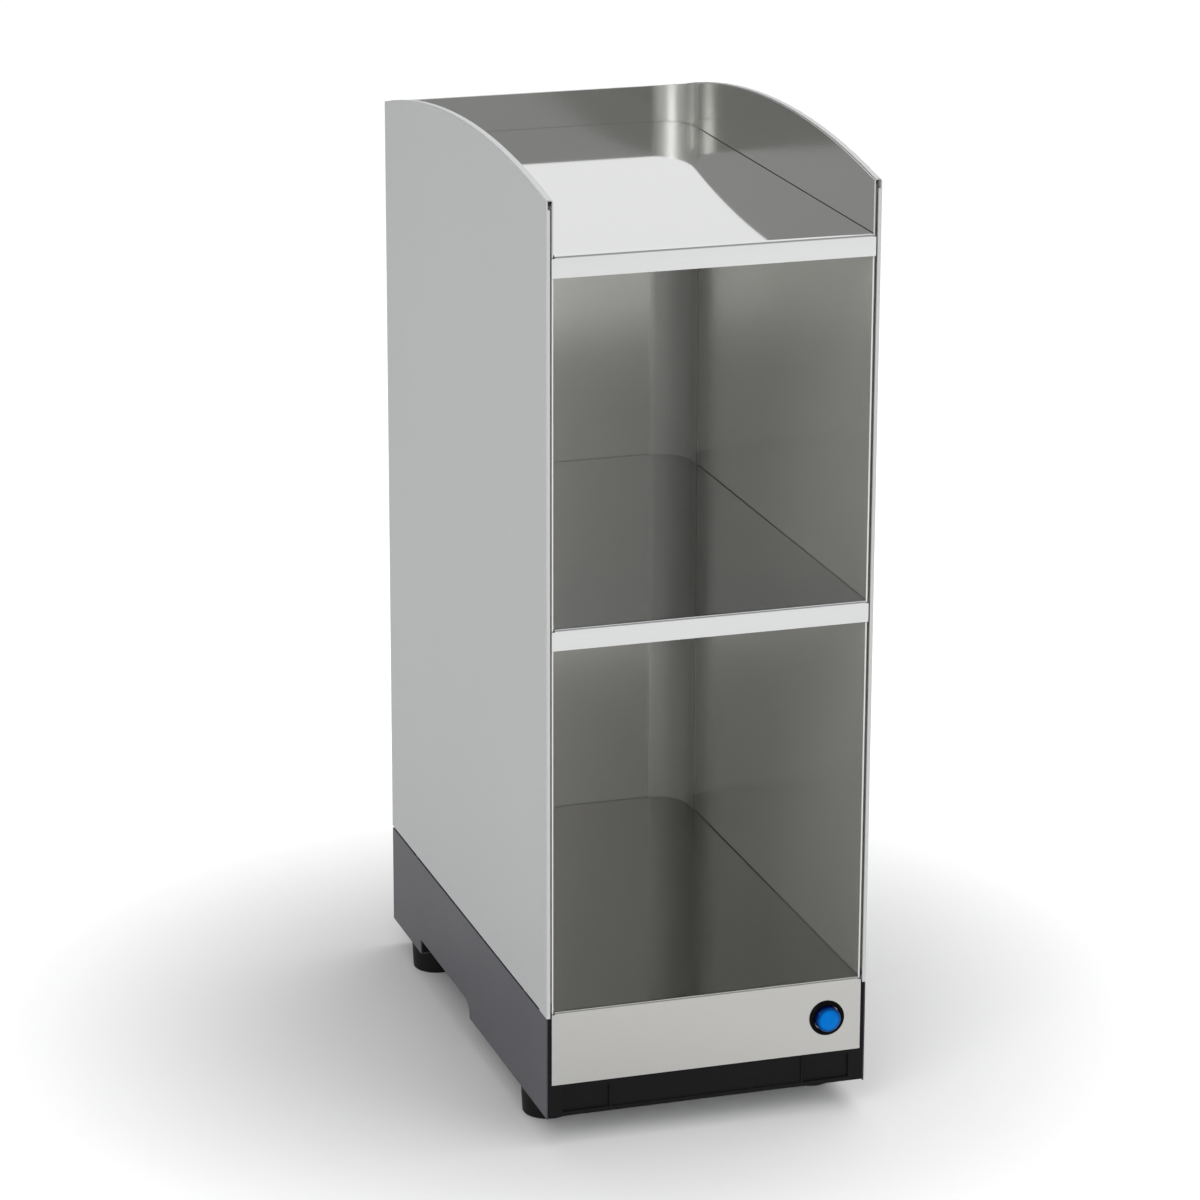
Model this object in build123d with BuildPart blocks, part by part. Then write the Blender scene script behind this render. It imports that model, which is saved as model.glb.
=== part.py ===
"""Narrow upright cup warmer with three heated shelves.

A painted outer shell (two side panels and a rear panel) stands on a dark base. Inside it a
stainless liner bent to a U carries two shelves and a bottom shelf whose front edge folds down
into the control fascia. Each shelf is a folded pan with a heater mat, insulation and an under
cover. Millimetres, Z up, X to the right as seen from the front, Y to the back. The origin is on
the floor, under the middle of the whole object.
"""

import math
import os

from build123d import *

# Overall body
body_width = 230.0
body_depth = 395.0
foot_height = 20.0
skirt_height = 73.0
shadow_gap = 1.8
back_corner_height = 646.3
front_corner_height = 656.4
crown_radius = 970.0

# Sheets and folds
panel_sheet = 1.0
liner_sheet = 1.0
shelf_sheet = 1.0
cover_sheet = 0.8
rim_width = 2.6
rear_flange_width = 12.0
rear_flange_end_gap = 2.0
rear_flange_top_gap = 6.0
wall_thickness = 5.2
rear_wall_thickness = 5.2
sheet_gap = 0.2
bend_radius = 1.0
front_corner_bend = 0.9
overshoot = 2.0

# Panel corner details
notch_height = 5.5
notch_depth = 3.0
tongue_length = 17.0
tongue_drop = 1.3

# Liner
liner_corner = 25.0
liner_front_setback = 1.5
liner_edge_drop = 0.6
liner_overlap = 14.0

# Shelves
shelf_gap = 0.6
lip_height = 15.0
fascia_height = 53.4
flange_height = 13.0
fascia_bottom = 44.4
middle_shelf_top = 369.0
top_tray_top = 620.8
front_bend = 2.0
edge_bend = 1.4
lip_return = 8.0
lip_over_liner = 0.5
relief_radius = 1.2

# Heating set under each shelf
heater_thickness = 1.5
heater_margin = 8.0
cover_recess = 2.0
cover_flange = 6.0
cover_gap = 0.3
sensor_radius = 8.0
sensor_height = 6.5
sensor_gap = 0.5
terminal_height = 2.5
terminal_width = 4.0
terminal_thickness = 0.8
fuse_radius = 2.2
fuse_length = 14.0
fuse_x = 32.0
pad_gap = 0.4

# Base
skirt_sheet = 1.0
skirt_return = 8.0
frame_top_drop = 0.5
frame_front_setback = 0.4
frame_wall = 2.4
beam_wall = 3.0
recess_from_back = 77.0
recess_length = 130.0
recess_height = 11.5
recess_depth = 25.0
recess_round = 11.0
pocket_inset = 11.8
pocket_width = 33.0
pocket_margin = 3.0
pocket_depth = 1.5
middle_recess_depth = 0.8
plate_thickness = 1.0
rib_depth = 3.0
rib_thickness = 2.0
rib_height = 60.0
rib_pitch = 42.0

# Feet
foot_radius = 17.0
foot_flare = 1.0
foot_round = 2.0
foot_from_side = 18.5
front_foot_inset = 60.0
rear_foot_inset = 53.0
foot_bore_radius = 6.5
foot_bore_depth = 9.0
boss_radius = 15.5
boss_height = 9.0
washer_radius = 5.5
washer_thickness = 1.2
foot_screw_length = 16.0

# Screws
screw_radius = 2.0
screw_head_radius = 3.6
screw_head_height = 1.8
small_screw_radius = 1.5
small_head_radius = 2.8
small_head_height = 1.6
small_screw_length = 10.0
screw_length = 8.0
screw_gap = 0.25
thread_gap = 0.05
screw_channel_width = 6.0
screw_notch_width = 14.4
screw_notch_drop = 7.2
shelf_screw_inset = 60.0
shelf_screw_drop = 9.5
rear_screw_inset = 7.0
rear_screw_low_inset = 20.0
rear_screw_high_inset = 30.0
rear_screw_rows = 4
post_radius = 4.0
post_inset = 5.4
post_height = 14.0
end_post_inset = 21.6
middle_post_inset = 32.4

# Push-button switch
switch_from_right = 28.3
switch_height = 70.0
bezel_radius = 12.5
bezel_proud = 2.0
bezel_round = 1.2
barrel_radius = 11.0
barrel_length = 20.0
button_radius = 9.0
button_proud = 4.0
button_length = 14.0
button_gap = 0.3
stem_radius = 3.0
stem_length = 14.0
stem_gap = 0.08
stem_bore_depth = 8.0
button_round = 1.8
terminal_tail = 6.0
switch_body_side = 19.0
switch_body_length = 22.0
switch_body_chamfer = 1.5
nut_radius = 14.0
nut_thickness = 4.0

# Mains inlet and wiring
inlet_from_side = 53.0
inlet_height = 54.0
inlet_flange_width = 50.0
inlet_flange_height = 24.0
inlet_flange_thickness = 2.5
inlet_body_width = 27.4
inlet_body_height = 19.8
inlet_body_depth = 19.0
inlet_cavity_width = 24.4
inlet_cavity_height = 16.4
inlet_cavity_depth = 16.0
inlet_screw_spacing = 40.0
pin_width = 4.0
pin_thickness = 2.0
pin_spacing = 14.0
pin_recess = 5.0
pin_offset = 2.0
contact_length = 26.0
inlet_flange_round = 3.0
inlet_bevel = 4.0
lead_radius = 1.1
lead_bend = 3.2
lead_spacing = 7.0
lead_slot_width = 12.0
lead_slot_height = 8.0
lead_column = 42.0
lead_column_pitch = 14.0
lead_start_inset = 30.0
lower_lead_inset = 38.0
lead_turn_height = 74.0
lead_run = 24.0
rear_lead_inset = 24.0
wall_fill_gap = 0.2
wall_fill_margin = 6.0
block_width = 40.0
block_depth = 18.0
block_height = 16.0
vent_length = 20.0
vent_width = 2.6
vent_pitch = 6.0
vent_count = 11
vent_centre_x = 52.0
plate_vent_length = 90.0
plate_vent_count = 7
pole_count = 6
block_inset = 60.0
block_chamfer = 1.5
block_screw_depth = 5.0
block_screw_height = 4.0
earth_stud_length = 10.0
earth_x = -40.0
earth_inset = 100.0

# Places that follow from the sizes above
half_width = body_width / 2
front_proud = bezel_proud + button_proud
y_front = -(front_proud + body_depth + inlet_flange_thickness) / 2 + front_proud
y_back = y_front + body_depth
skirt_bottom = foot_height
skirt_top = skirt_bottom + skirt_height
panel_bottom = skirt_top + shadow_gap
bottom_shelf_top = fascia_bottom + fascia_height

liner_half = half_width - wall_thickness
liner_outer = liner_half + liner_sheet
liner_back = y_back - rear_wall_thickness
liner_back_outer = liner_back + liner_sheet
liner_front = y_front + liner_front_setback
liner_bottom = bottom_shelf_top - liner_overlap

shelf_half = liner_half - shelf_gap
shelf_back = liner_back - shelf_gap
shelf_corner = liner_corner - shelf_gap
lip_half = liner_outer + lip_over_liner

frame_half = half_width - skirt_sheet - sheet_gap
frame_bottom = skirt_bottom + skirt_sheet
frame_top = skirt_top - frame_top_drop
frame_back = y_back - skirt_sheet - sheet_gap
frame_front = y_front + frame_front_setback
recess_rear = y_back - recess_from_back
recess_front = recess_rear - recess_length
recess_top = skirt_bottom + recess_height
recess_inner = half_width - recess_depth

switch_x = half_width - switch_from_right
inlet_x = inlet_from_side - half_width
foot_x = half_width - foot_from_side
foot_places = {
    "front_left": (-foot_x, y_front + front_foot_inset),
    "front_right": (foot_x, y_front + front_foot_inset),
    "rear_left": (-foot_x, y_back - rear_foot_inset),
    "rear_right": (foot_x, y_back - rear_foot_inset),
}
shelf_tops = {
    "lower": bottom_shelf_top,
    "middle": middle_shelf_top,
    "top": top_tray_top,
}
mat_drop = shelf_sheet + heater_thickness
lead_columns = {
    "lower": lead_column - lead_column_pitch,
    "middle": lead_column,
    "top": lead_column + lead_column_pitch,
}
lead_start_y = shelf_back - lead_start_inset
lower_lead_y = y_back - lower_lead_inset
lead_starts = {
    "lower": lower_lead_y - lead_run,
    "middle": lead_start_y,
    "top": lead_start_y,
}
rear_lead_y = y_back - rear_lead_inset
cavity_y = (liner_back_outer + y_back - panel_sheet) / 2
sensor_y = (y_front + y_back) / 2

plate_top = skirt_bottom + plate_thickness
block_y = y_back - block_inset
block_wire_height = plate_top + block_height / 2
earth_y = y_back - earth_inset
lower_cover_bottom = bottom_shelf_top - lip_height + cover_recess
nut_reach = 2 * screw_head_radius / math.sqrt(3) + sheet_gap
earth_wire_height = lower_cover_bottom - screw_head_height / 2 - lead_radius
switch_tail_y = y_front + barrel_length + switch_body_length + terminal_tail
inlet_outer = y_back + inlet_flange_thickness
inlet_tail_y = inlet_outer - pin_recess - contact_length
contact_places = [
    (inlet_x - pin_spacing / 2, inlet_height - pin_offset),
    (inlet_x + pin_spacing / 2, inlet_height - pin_offset),
    (inlet_x, inlet_height + pin_offset),
]

# Screw posts of the base, along the sides and across the rear
side_post_places = [
    (side * (half_width - post_inset), depth)
    for side in (-1, 1)
    for depth in (y_front + end_post_inset, recess_front - middle_post_inset, y_back - end_post_inset)
]
rear_post_places = [(side * foot_x / 2, y_back - post_inset) for side in (-1, 1)]
post_places = side_post_places + rear_post_places

# Screw places, as (y, z) in the side walls and (x, z) in the rear panel
shelf_screw_depths = (y_front + shelf_screw_inset, y_back - shelf_screw_inset)
shelf_screw_places = [
    (depth, top - shelf_screw_drop) for depth in shelf_screw_depths for top in shelf_tops.values()
]
screw_tip = liner_outer - screw_length
rear_screw_x = half_width - panel_sheet - rear_screw_inset
rear_screw_lowest = panel_bottom + rear_screw_low_inset
rear_screw_highest = back_corner_height - rear_screw_high_inset
rear_screw_pitch = (rear_screw_highest - rear_screw_lowest) / (rear_screw_rows - 1)
rear_screw_heights = [rear_screw_lowest + row * rear_screw_pitch for row in range(rear_screw_rows)]
rear_screw_places = [(side * rear_screw_x, z) for side in (-1, 1) for z in rear_screw_heights]

# Centre of the circle that the arched top edge follows
half_chord = math.hypot(body_depth, front_corner_height - back_corner_height) / 2
chord_slope = math.atan2(front_corner_height - back_corner_height, body_depth)
centre_drop = math.sqrt(crown_radius**2 - half_chord**2)
arch_y = (y_front + y_back) / 2 - centre_drop * math.sin(chord_slope)
arch_z = (front_corner_height + back_corner_height) / 2 - centre_drop * math.cos(chord_slope)


def arch_height(y, inset=0.0):
    """Height of the arched top edge at depth y, for an edge set in by inset."""
    return arch_z + math.sqrt((crown_radius - inset) ** 2 - (y - arch_y) ** 2)


def lead_height(shelf_name):
    """Top of the slot that lets a shelf's leads out."""
    return shelf_tops[shelf_name] - mat_drop


def front_plane(y):
    """Plane at depth y that faces the front, with local x to the right and local y up."""
    return Plane.XZ.offset(-y)


def side_plane(x):
    """Plane at x, with local x to the back and local y up."""
    return Plane.YZ.offset(x)


def save(builder, name):
    """Label a finished piece and write it under its name."""
    builder.part.label = name
    export_step(builder.part, f"parts/{name}.step")


def bay_outline(half, front, back, corner):
    """Plan of the liner's bay: open rectangle with two rounded rear corners."""
    with BuildSketch() as outline:
        with BuildLine():
            wrap = FilletPolyline(
                (-half, front), (-half, back), (half, back), (half, front), radius=corner
            )
            Line(wrap @ 1, wrap @ 0)
        make_face()
    return outline.sketch


def arched_outline(front, back, bottom, inset):
    """Side view of a wall that ends in the arched top edge."""
    middle = (front + back) / 2
    front_top = (front, arch_height(front, inset))
    back_top = (back, arch_height(back, inset))
    with BuildSketch() as outline:
        with BuildLine():
            ThreePointArc(back_top, (middle, arch_height(middle, inset)), front_top)
            Polyline(front_top, (front, bottom), (back, bottom), back_top)
        make_face()
    return outline.sketch


def recess_outline():
    """Side view of the hand recess: square at the rear, rounded at the front."""
    with BuildSketch() as outline:
        with BuildLine():
            roof = FilletPolyline(
                (recess_front, skirt_bottom - overshoot),
                (recess_front, recess_top),
                (recess_rear, recess_top),
                radius=recess_round,
            )
            Polyline(roof @ 1, (recess_rear, skirt_bottom - overshoot), roof @ 0)
        make_face()
    return outline.sketch


def lead(*points):
    """One insulated lead: straight runs joined by rounded corners."""
    with BuildPart() as wire:
        with BuildLine():
            route = FilletPolyline(*points, radius=lead_bend)
        with BuildSketch(Plane(origin=route @ 0, z_dir=route % 0)):
            Circle(lead_radius)
        sweep(path=route)
    return wire.part


os.makedirs("parts", exist_ok=True)

# Side panels: one sheet each, with a narrow rim folded inwards along every edge
for name, side in (("left_side_panel", -1), ("right_side_panel", 1)):
    outer_face = side * half_width
    inner_face = side * (half_width - panel_sheet)
    with BuildPart() as side_panel:
        with BuildSketch(side_plane(outer_face)):
            add(arched_outline(y_front, y_back, panel_bottom, 0))
        extrude(amount=-side * rim_width)
        # Hollow of the rim
        with BuildSketch(side_plane(inner_face)):
            add(arched_outline(
                y_front + panel_sheet,
                y_back - panel_sheet,
                panel_bottom + panel_sheet,
                panel_sheet,
            ))
        extrude(amount=-side * rim_width, mode=Mode.SUBTRACT)
        # Tongue at the lower front corner
        with BuildSketch(side_plane(outer_face)):
            with Locations((y_front, panel_bottom + bend_radius)):
                Rectangle(tongue_length, tongue_drop + bend_radius, align=(Align.MIN, Align.MAX))
        extrude(amount=-side * panel_sheet)
        with BuildSketch(front_plane(y_front)):
            with Locations((outer_face, panel_bottom + bend_radius)):
                Rectangle(
                    rim_width,
                    tongue_drop + bend_radius,
                    align=(Align.MIN if side < 0 else Align.MAX, Align.MAX),
                )
        extrude(amount=-panel_sheet)
        # The top rim is wider than the rest and closes the wall up to the liner
        with BuildSketch(side_plane(inner_face)):
            rim_front = y_front + notch_depth
            rim_back = y_back - rear_wall_thickness - liner_corner - sheet_gap
            add(arched_outline(rim_front, rim_back, panel_bottom, 0))
            below_rim = arched_outline(rim_front, rim_back, panel_bottom, panel_sheet)
            add(below_rim, mode=Mode.SUBTRACT)
        extrude(amount=-side * (wall_thickness - liner_sheet - sheet_gap - panel_sheet))
        # Relief between the top rim and the front rim
        with BuildSketch(side_plane(inner_face)):
            with Locations((y_front, front_corner_height + overshoot)):
                Rectangle(notch_depth, notch_height + overshoot, align=(Align.MIN, Align.MAX))
        extrude(amount=-side * rim_width, mode=Mode.SUBTRACT)
        # The rear rim makes way for the inset flange that carries the rear panel
        with BuildSketch(side_plane(inner_face)):
            with Locations((y_back, back_corner_height + overshoot)):
                Rectangle(panel_sheet + sheet_gap, back_corner_height, align=(Align.MAX, Align.MAX))
        extrude(amount=-side * rim_width, mode=Mode.SUBTRACT)
        with BuildSketch(front_plane(y_back - panel_sheet - sheet_gap)):
            with Locations((inner_face, panel_bottom + rear_flange_end_gap)):
                Rectangle(
                    rear_flange_width,
                    back_corner_height - panel_bottom - rear_flange_end_gap - rear_flange_top_gap,
                    align=(Align.MAX if side > 0 else Align.MIN, Align.MIN),
                )
        extrude(amount=panel_sheet)
        with BuildSketch(front_plane(y_back)):
            with Locations(*(place for place in rear_screw_places if place[0] * side > 0)):
                Circle(small_screw_radius + thread_gap)
        extrude(amount=2 * panel_sheet + sheet_gap, mode=Mode.SUBTRACT)
        outer = 0 if side < 0 else -1
        front_corners = side_panel.edges().filter_by(Axis.Z).group_by(Axis.Y)[0]
        arches = side_panel.edges().filter_by(GeomType.CIRCLE).group_by(Axis.X)[outer]
        fillet(
            [front_corners.sort_by(Axis.X)[outer], arches.sort_by(SortBy.LENGTH)[-1]],
            front_corner_bend,
        )
    save(side_panel, name)

# Rear panel: set between the side panels, its top fold closes the wall round the liner's corners
with BuildPart() as rear_panel:
    with BuildSketch(front_plane(y_back)):
        with Locations((0, panel_bottom)):
            Rectangle(
                2 * (half_width - panel_sheet - sheet_gap),
                back_corner_height - panel_bottom,
                align=(Align.CENTER, Align.MIN),
            )
    extrude(amount=panel_sheet)
    with BuildSketch(Plane.XY.offset(back_corner_height - panel_sheet)):
        with Locations((0, y_back)):
            Rectangle(
                2 * (half_width - rim_width - sheet_gap),
                rear_wall_thickness + liner_corner,
                align=(Align.CENTER, Align.MAX),
            )
        wrapped_corner = liner_corner + liner_sheet + sheet_gap
        liner_wrap = bay_outline(
            liner_outer + sheet_gap, y_front, liner_back_outer + sheet_gap, wrapped_corner
        )
        add(liner_wrap, mode=Mode.SUBTRACT)
    extrude(amount=panel_sheet)
    with BuildSketch(front_plane(y_back)):
        with Locations(*rear_screw_places):
            Circle(small_screw_radius + screw_gap)
    extrude(amount=panel_sheet, mode=Mode.SUBTRACT)
save(rear_panel, "rear_panel")

# Liner: one sheet bent to a U with rounded rear corners, its top cut to the same arch
with BuildPart() as inner_liner:
    with BuildSketch(Plane.XY.offset(liner_bottom)):
        add(bay_outline(liner_outer, liner_front, liner_back_outer, liner_corner + liner_sheet))
        bay = bay_outline(liner_half, liner_front - overshoot, liner_back, liner_corner)
        add(bay, mode=Mode.SUBTRACT)
    extrude(amount=front_corner_height - liner_bottom + liner_corner)
    with BuildSketch(side_plane(-half_width)):
        add(arched_outline(y_front, y_back, liner_bottom, liner_edge_drop))
    extrude(amount=body_width, mode=Mode.INTERSECT)
    # Clearance holes for the shelf screws, and slots for the heater leads
    with BuildSketch(side_plane(-half_width)):
        with Locations(*shelf_screw_places):
            Circle(screw_radius + screw_gap)
    extrude(amount=body_width, mode=Mode.SUBTRACT)
    with BuildSketch(front_plane(y_back)):
        for shelf_name in ("middle", "top"):
            with Locations((lead_columns[shelf_name], lead_height(shelf_name))):
                Rectangle(lead_slot_width, lead_slot_height, align=(Align.CENTER, Align.MAX))
    extrude(amount=rear_wall_thickness, mode=Mode.SUBTRACT)
save(inner_liner, "inner_liner")

# Shelves: folded pans, the front edge deeper than the rest and wide enough to cover the liner
for name, shelf_name in (
    ("bottom_shelf", "lower"),
    ("middle_shelf", "middle"),
    ("top_tray", "top"),
):
    top = shelf_tops[shelf_name]
    front_drop = fascia_height if shelf_name == "lower" else lip_height
    with BuildPart() as pan_hollow:
        with BuildSketch(Plane.XY.offset(top - shelf_sheet)):
            add(bay_outline(
                shelf_half - shelf_sheet,
                y_front + shelf_sheet,
                shelf_back - shelf_sheet,
                shelf_corner - shelf_sheet,
            ))
        extrude(amount=-front_drop)
        hollow_top = pan_hollow.faces().sort_by(Axis.Z)[-1]
        fillet(hollow_top.edges().sort_by(Axis.Y)[0], front_bend - shelf_sheet)
    with BuildPart() as shelf:
        with BuildSketch(Plane.XY.offset(top)):
            add(bay_outline(shelf_half, y_front, shelf_back, shelf_corner))
        extrude(amount=-front_drop)
        shelf_face = shelf.faces().sort_by(Axis.Z)[-1]
        fillet(shelf_face.edges().sort_by(Axis.Y)[0], front_bend)
        side_and_rear = shelf.faces().sort_by(Axis.Z)[-1].edges().sort_by(Axis.Y)[1:]
        fillet(side_and_rear, edge_bend)
        add(pan_hollow.part, mode=Mode.SUBTRACT)
        # Side and rear flanges end above the bottom of the front
        with BuildSketch(Plane.XY.offset(top - flange_height)):
            with Locations((0, y_front + front_bend + shelf_sheet)):
                Rectangle(body_width, body_depth, align=(Align.CENTER, Align.MIN))
        extrude(amount=-front_drop, mode=Mode.SUBTRACT)
        # No flange round the rear corners, and a relief where each side flange ends
        with BuildSketch(Plane.XY.offset(top - shelf_sheet)):
            with Locations((-shelf_half, shelf_back), (shelf_half, shelf_back)):
                Rectangle(2 * shelf_corner, 2 * shelf_corner)
        extrude(amount=-flange_height, mode=Mode.SUBTRACT)
        with BuildSketch(Plane.XY.offset(top)):
            for side in (-1, 1):
                with Locations((side * shelf_half, shelf_back - shelf_corner)):
                    Circle(relief_radius)
        extrude(amount=-flange_height, mode=Mode.SUBTRACT)
        # The front laps over the liner's edges at both ends
        with BuildSketch(front_plane(y_front)):
            for side in (-1, 1):
                with Locations((side * lip_half, top - front_drop)):
                    Rectangle(
                        lip_half - shelf_half + shelf_sheet,
                        front_drop - front_bend,
                        align=(Align.MIN if side < 0 else Align.MAX, Align.MIN),
                    )
        extrude(amount=-shelf_sheet)
        # Hem folded back under the front
        with BuildSketch(Plane.XY.offset(top - front_drop)):
            with Locations((0, y_front)):
                Rectangle(2 * shelf_half, lip_return, align=(Align.CENTER, Align.MIN))
        extrude(amount=shelf_sheet)
        # Screw holes in the side flanges, slot for the leads in the rear one
        with BuildSketch(side_plane(-half_width)):
            with Locations(*(place for place in shelf_screw_places if 0 < top - place[1] < lip_height)):
                Circle(screw_radius + screw_gap)
        extrude(amount=body_width, mode=Mode.SUBTRACT)
        with BuildSketch(front_plane(shelf_back)):
            with Locations((lead_columns[shelf_name], lead_height(shelf_name))):
                Rectangle(lead_slot_width, lead_slot_height, align=(Align.CENTER, Align.MAX))
        extrude(amount=shelf_sheet, mode=Mode.SUBTRACT)
        if shelf_name == "lower":
            with BuildSketch(front_plane(y_front)):
                with Locations((switch_x, switch_height)):
                    Circle(barrel_radius + screw_gap)
            extrude(amount=-shelf_sheet, mode=Mode.SUBTRACT)
    save(shelf, name)

# Heating set of each shelf: mat, insulation pad, under cover, thermostat and thermal fuse
for shelf_name, top in shelf_tops.items():
    mat_top = top - shelf_sheet
    pad_top = mat_top - heater_thickness
    cover_bottom = top - lip_height + cover_recess
    cover_half = shelf_half - shelf_sheet - cover_gap
    cover_back = shelf_back - shelf_sheet - cover_gap
    cover_front = y_front + shelf_sheet + cover_gap
    cover_corner = shelf_corner - shelf_sheet - cover_gap
    lead_x = lead_columns[shelf_name]

    with BuildPart() as heater_mat:
        with BuildSketch(Plane.XY.offset(mat_top)):
            add(bay_outline(
                cover_half - heater_margin,
                cover_front + heater_margin,
                cover_back - heater_margin,
                cover_corner - heater_margin,
            ))
        extrude(amount=-heater_thickness)
    save(heater_mat, f"{shelf_name}_heater_mat")

    with BuildPart() as under_cover:
        with BuildSketch(Plane.XY.offset(cover_bottom)):
            add(bay_outline(cover_half, cover_front, cover_back, cover_corner))
        extrude(amount=cover_sheet + cover_flange)
        with BuildSketch(Plane.XY.offset(cover_bottom + cover_sheet)):
            add(bay_outline(
                cover_half - cover_sheet,
                cover_front + cover_sheet,
                cover_back - cover_sheet,
                cover_corner - cover_sheet,
            ))
        extrude(amount=cover_flange, mode=Mode.SUBTRACT)
        with BuildSketch(side_plane(-half_width)):
            with Locations(*(place for place in shelf_screw_places if 0 < top - place[1] < lip_height)):
                Circle(screw_radius + screw_gap)
        extrude(amount=body_width, mode=Mode.SUBTRACT)
        if shelf_name == "lower":
            with BuildSketch(Plane.XY.offset(cover_bottom)):
                with Locations((lead_x, lower_lead_y)):
                    Rectangle(lead_slot_width, lead_slot_height)
            extrude(amount=cover_sheet, mode=Mode.SUBTRACT)
        else:
            with BuildSketch(front_plane(cover_back)):
                with Locations((lead_x, lead_height(shelf_name))):
                    Rectangle(lead_slot_width, lead_slot_height, align=(Align.CENTER, Align.MAX))
            extrude(amount=cover_sheet, mode=Mode.SUBTRACT)
    save(under_cover, f"{shelf_name}_under_cover")

    with BuildPart() as insulation_pad:
        with BuildSketch(Plane.XY.offset(pad_top)):
            add(bay_outline(
                cover_half - cover_sheet - pad_gap,
                cover_front + cover_sheet + pad_gap,
                cover_back - cover_sheet - pad_gap,
                cover_corner - cover_sheet - pad_gap,
            ))
        extrude(amount=cover_bottom + cover_sheet - pad_top)
        # Pockets for the thermostat and the fuse, channel for the leads, room for the screws
        with BuildSketch(Plane.XY.offset(pad_top)):
            with Locations((0, sensor_y)):
                Circle(sensor_radius + sensor_gap)
            with Locations((fuse_x, sensor_y)):
                Rectangle(fuse_length + 2 * sensor_gap, 2 * (fuse_radius + sensor_gap))
            with Locations((lead_x, lead_starts[shelf_name] - sensor_gap)):
                Rectangle(lead_slot_width, body_depth, align=(Align.CENTER, Align.MIN))
            for side in (-1, 1):
                for screw_y in shelf_screw_depths:
                    with Locations((side * half_width, screw_y)):
                        Rectangle(2 * (half_width - screw_tip), screw_channel_width)
        extrude(amount=cover_bottom + cover_sheet - pad_top, mode=Mode.SUBTRACT)
    save(insulation_pad, f"{shelf_name}_insulation_pad")

    with BuildPart() as thermostat:
        with BuildSketch(Plane.XY.offset(pad_top)):
            with Locations((0, sensor_y)):
                Circle(sensor_radius)
        extrude(amount=-sensor_height)
        with BuildSketch(Plane.XY.offset(pad_top - sensor_height)):
            with Locations((0, sensor_y)):
                with GridLocations(sensor_radius, 0, 2, 1):
                    Rectangle(terminal_thickness, terminal_width)
        extrude(amount=-terminal_height)
    save(thermostat, f"{shelf_name}_thermostat")

    with BuildPart() as thermal_fuse:
        with BuildSketch(side_plane(fuse_x - fuse_length / 2)):
            with Locations((sensor_y, pad_top - fuse_radius)):
                Circle(fuse_radius)
        extrude(amount=fuse_length)
    save(thermal_fuse, f"{shelf_name}_thermal_fuse")

# Insulation that fills the side walls and the rear wall
for name, side in (("left_wall_insulation", -1), ("right_wall_insulation", 1)):
    with BuildPart() as wall_insulation:
        with BuildSketch(side_plane(side * (half_width - panel_sheet - wall_fill_gap))):
            add(arched_outline(
                liner_front + wall_fill_margin,
                liner_back - liner_corner,
                panel_bottom + wall_fill_margin,
                wall_fill_margin,
            ))
            with Locations(*shelf_screw_places):
                Circle(screw_head_radius + sensor_gap, mode=Mode.SUBTRACT)
        extrude(amount=-side * (wall_thickness - panel_sheet - liner_sheet - 2 * wall_fill_gap))
    save(wall_insulation, name)

with BuildPart() as rear_wall_insulation:
    with BuildSketch(front_plane(y_back - panel_sheet - wall_fill_gap)):
        with Locations((0, panel_bottom + wall_fill_margin)):
            Rectangle(
                2 * (liner_half - liner_corner),
                back_corner_height - panel_bottom - 2 * wall_fill_margin,
                align=(Align.CENTER, Align.MIN),
            )
        # Channel for the leads of the two upper shelves
        with Locations((lead_column + lead_column_pitch / 2, panel_bottom)):
            Rectangle(
                lead_column_pitch + lead_slot_width,
                lead_height("top") - panel_bottom,
                align=(Align.CENTER, Align.MIN),
                mode=Mode.SUBTRACT,
            )
    extrude(amount=rear_wall_thickness - panel_sheet - liner_sheet - 2 * wall_fill_gap)
save(rear_wall_insulation, "rear_wall_insulation")

# Screws, one node for each kind
with BuildPart() as shelf_screws:
    for side in (-1, 1):
        with BuildSketch(side_plane(side * liner_outer)):
            with Locations(*shelf_screw_places):
                Circle(screw_head_radius)
        extrude(amount=side * screw_head_height)
        with BuildSketch(side_plane(side * liner_outer)):
            with Locations(*shelf_screw_places):
                Circle(screw_radius)
        extrude(amount=-side * screw_length)
save(shelf_screws, "shelf_screws")

with BuildPart() as rear_panel_screws:
    with BuildSketch(front_plane(y_back)):
        with Locations(*rear_screw_places):
            Circle(small_head_radius)
    extrude(amount=-small_head_height)
    chamfer(rear_panel_screws.edges().group_by(Axis.Y)[-1], small_head_height / 3)
    with BuildSketch(front_plane(y_back)):
        with Locations(*rear_screw_places):
            Circle(small_screw_radius)
    extrude(amount=small_screw_length)
save(rear_panel_screws, "rear_panel_screws")

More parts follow.
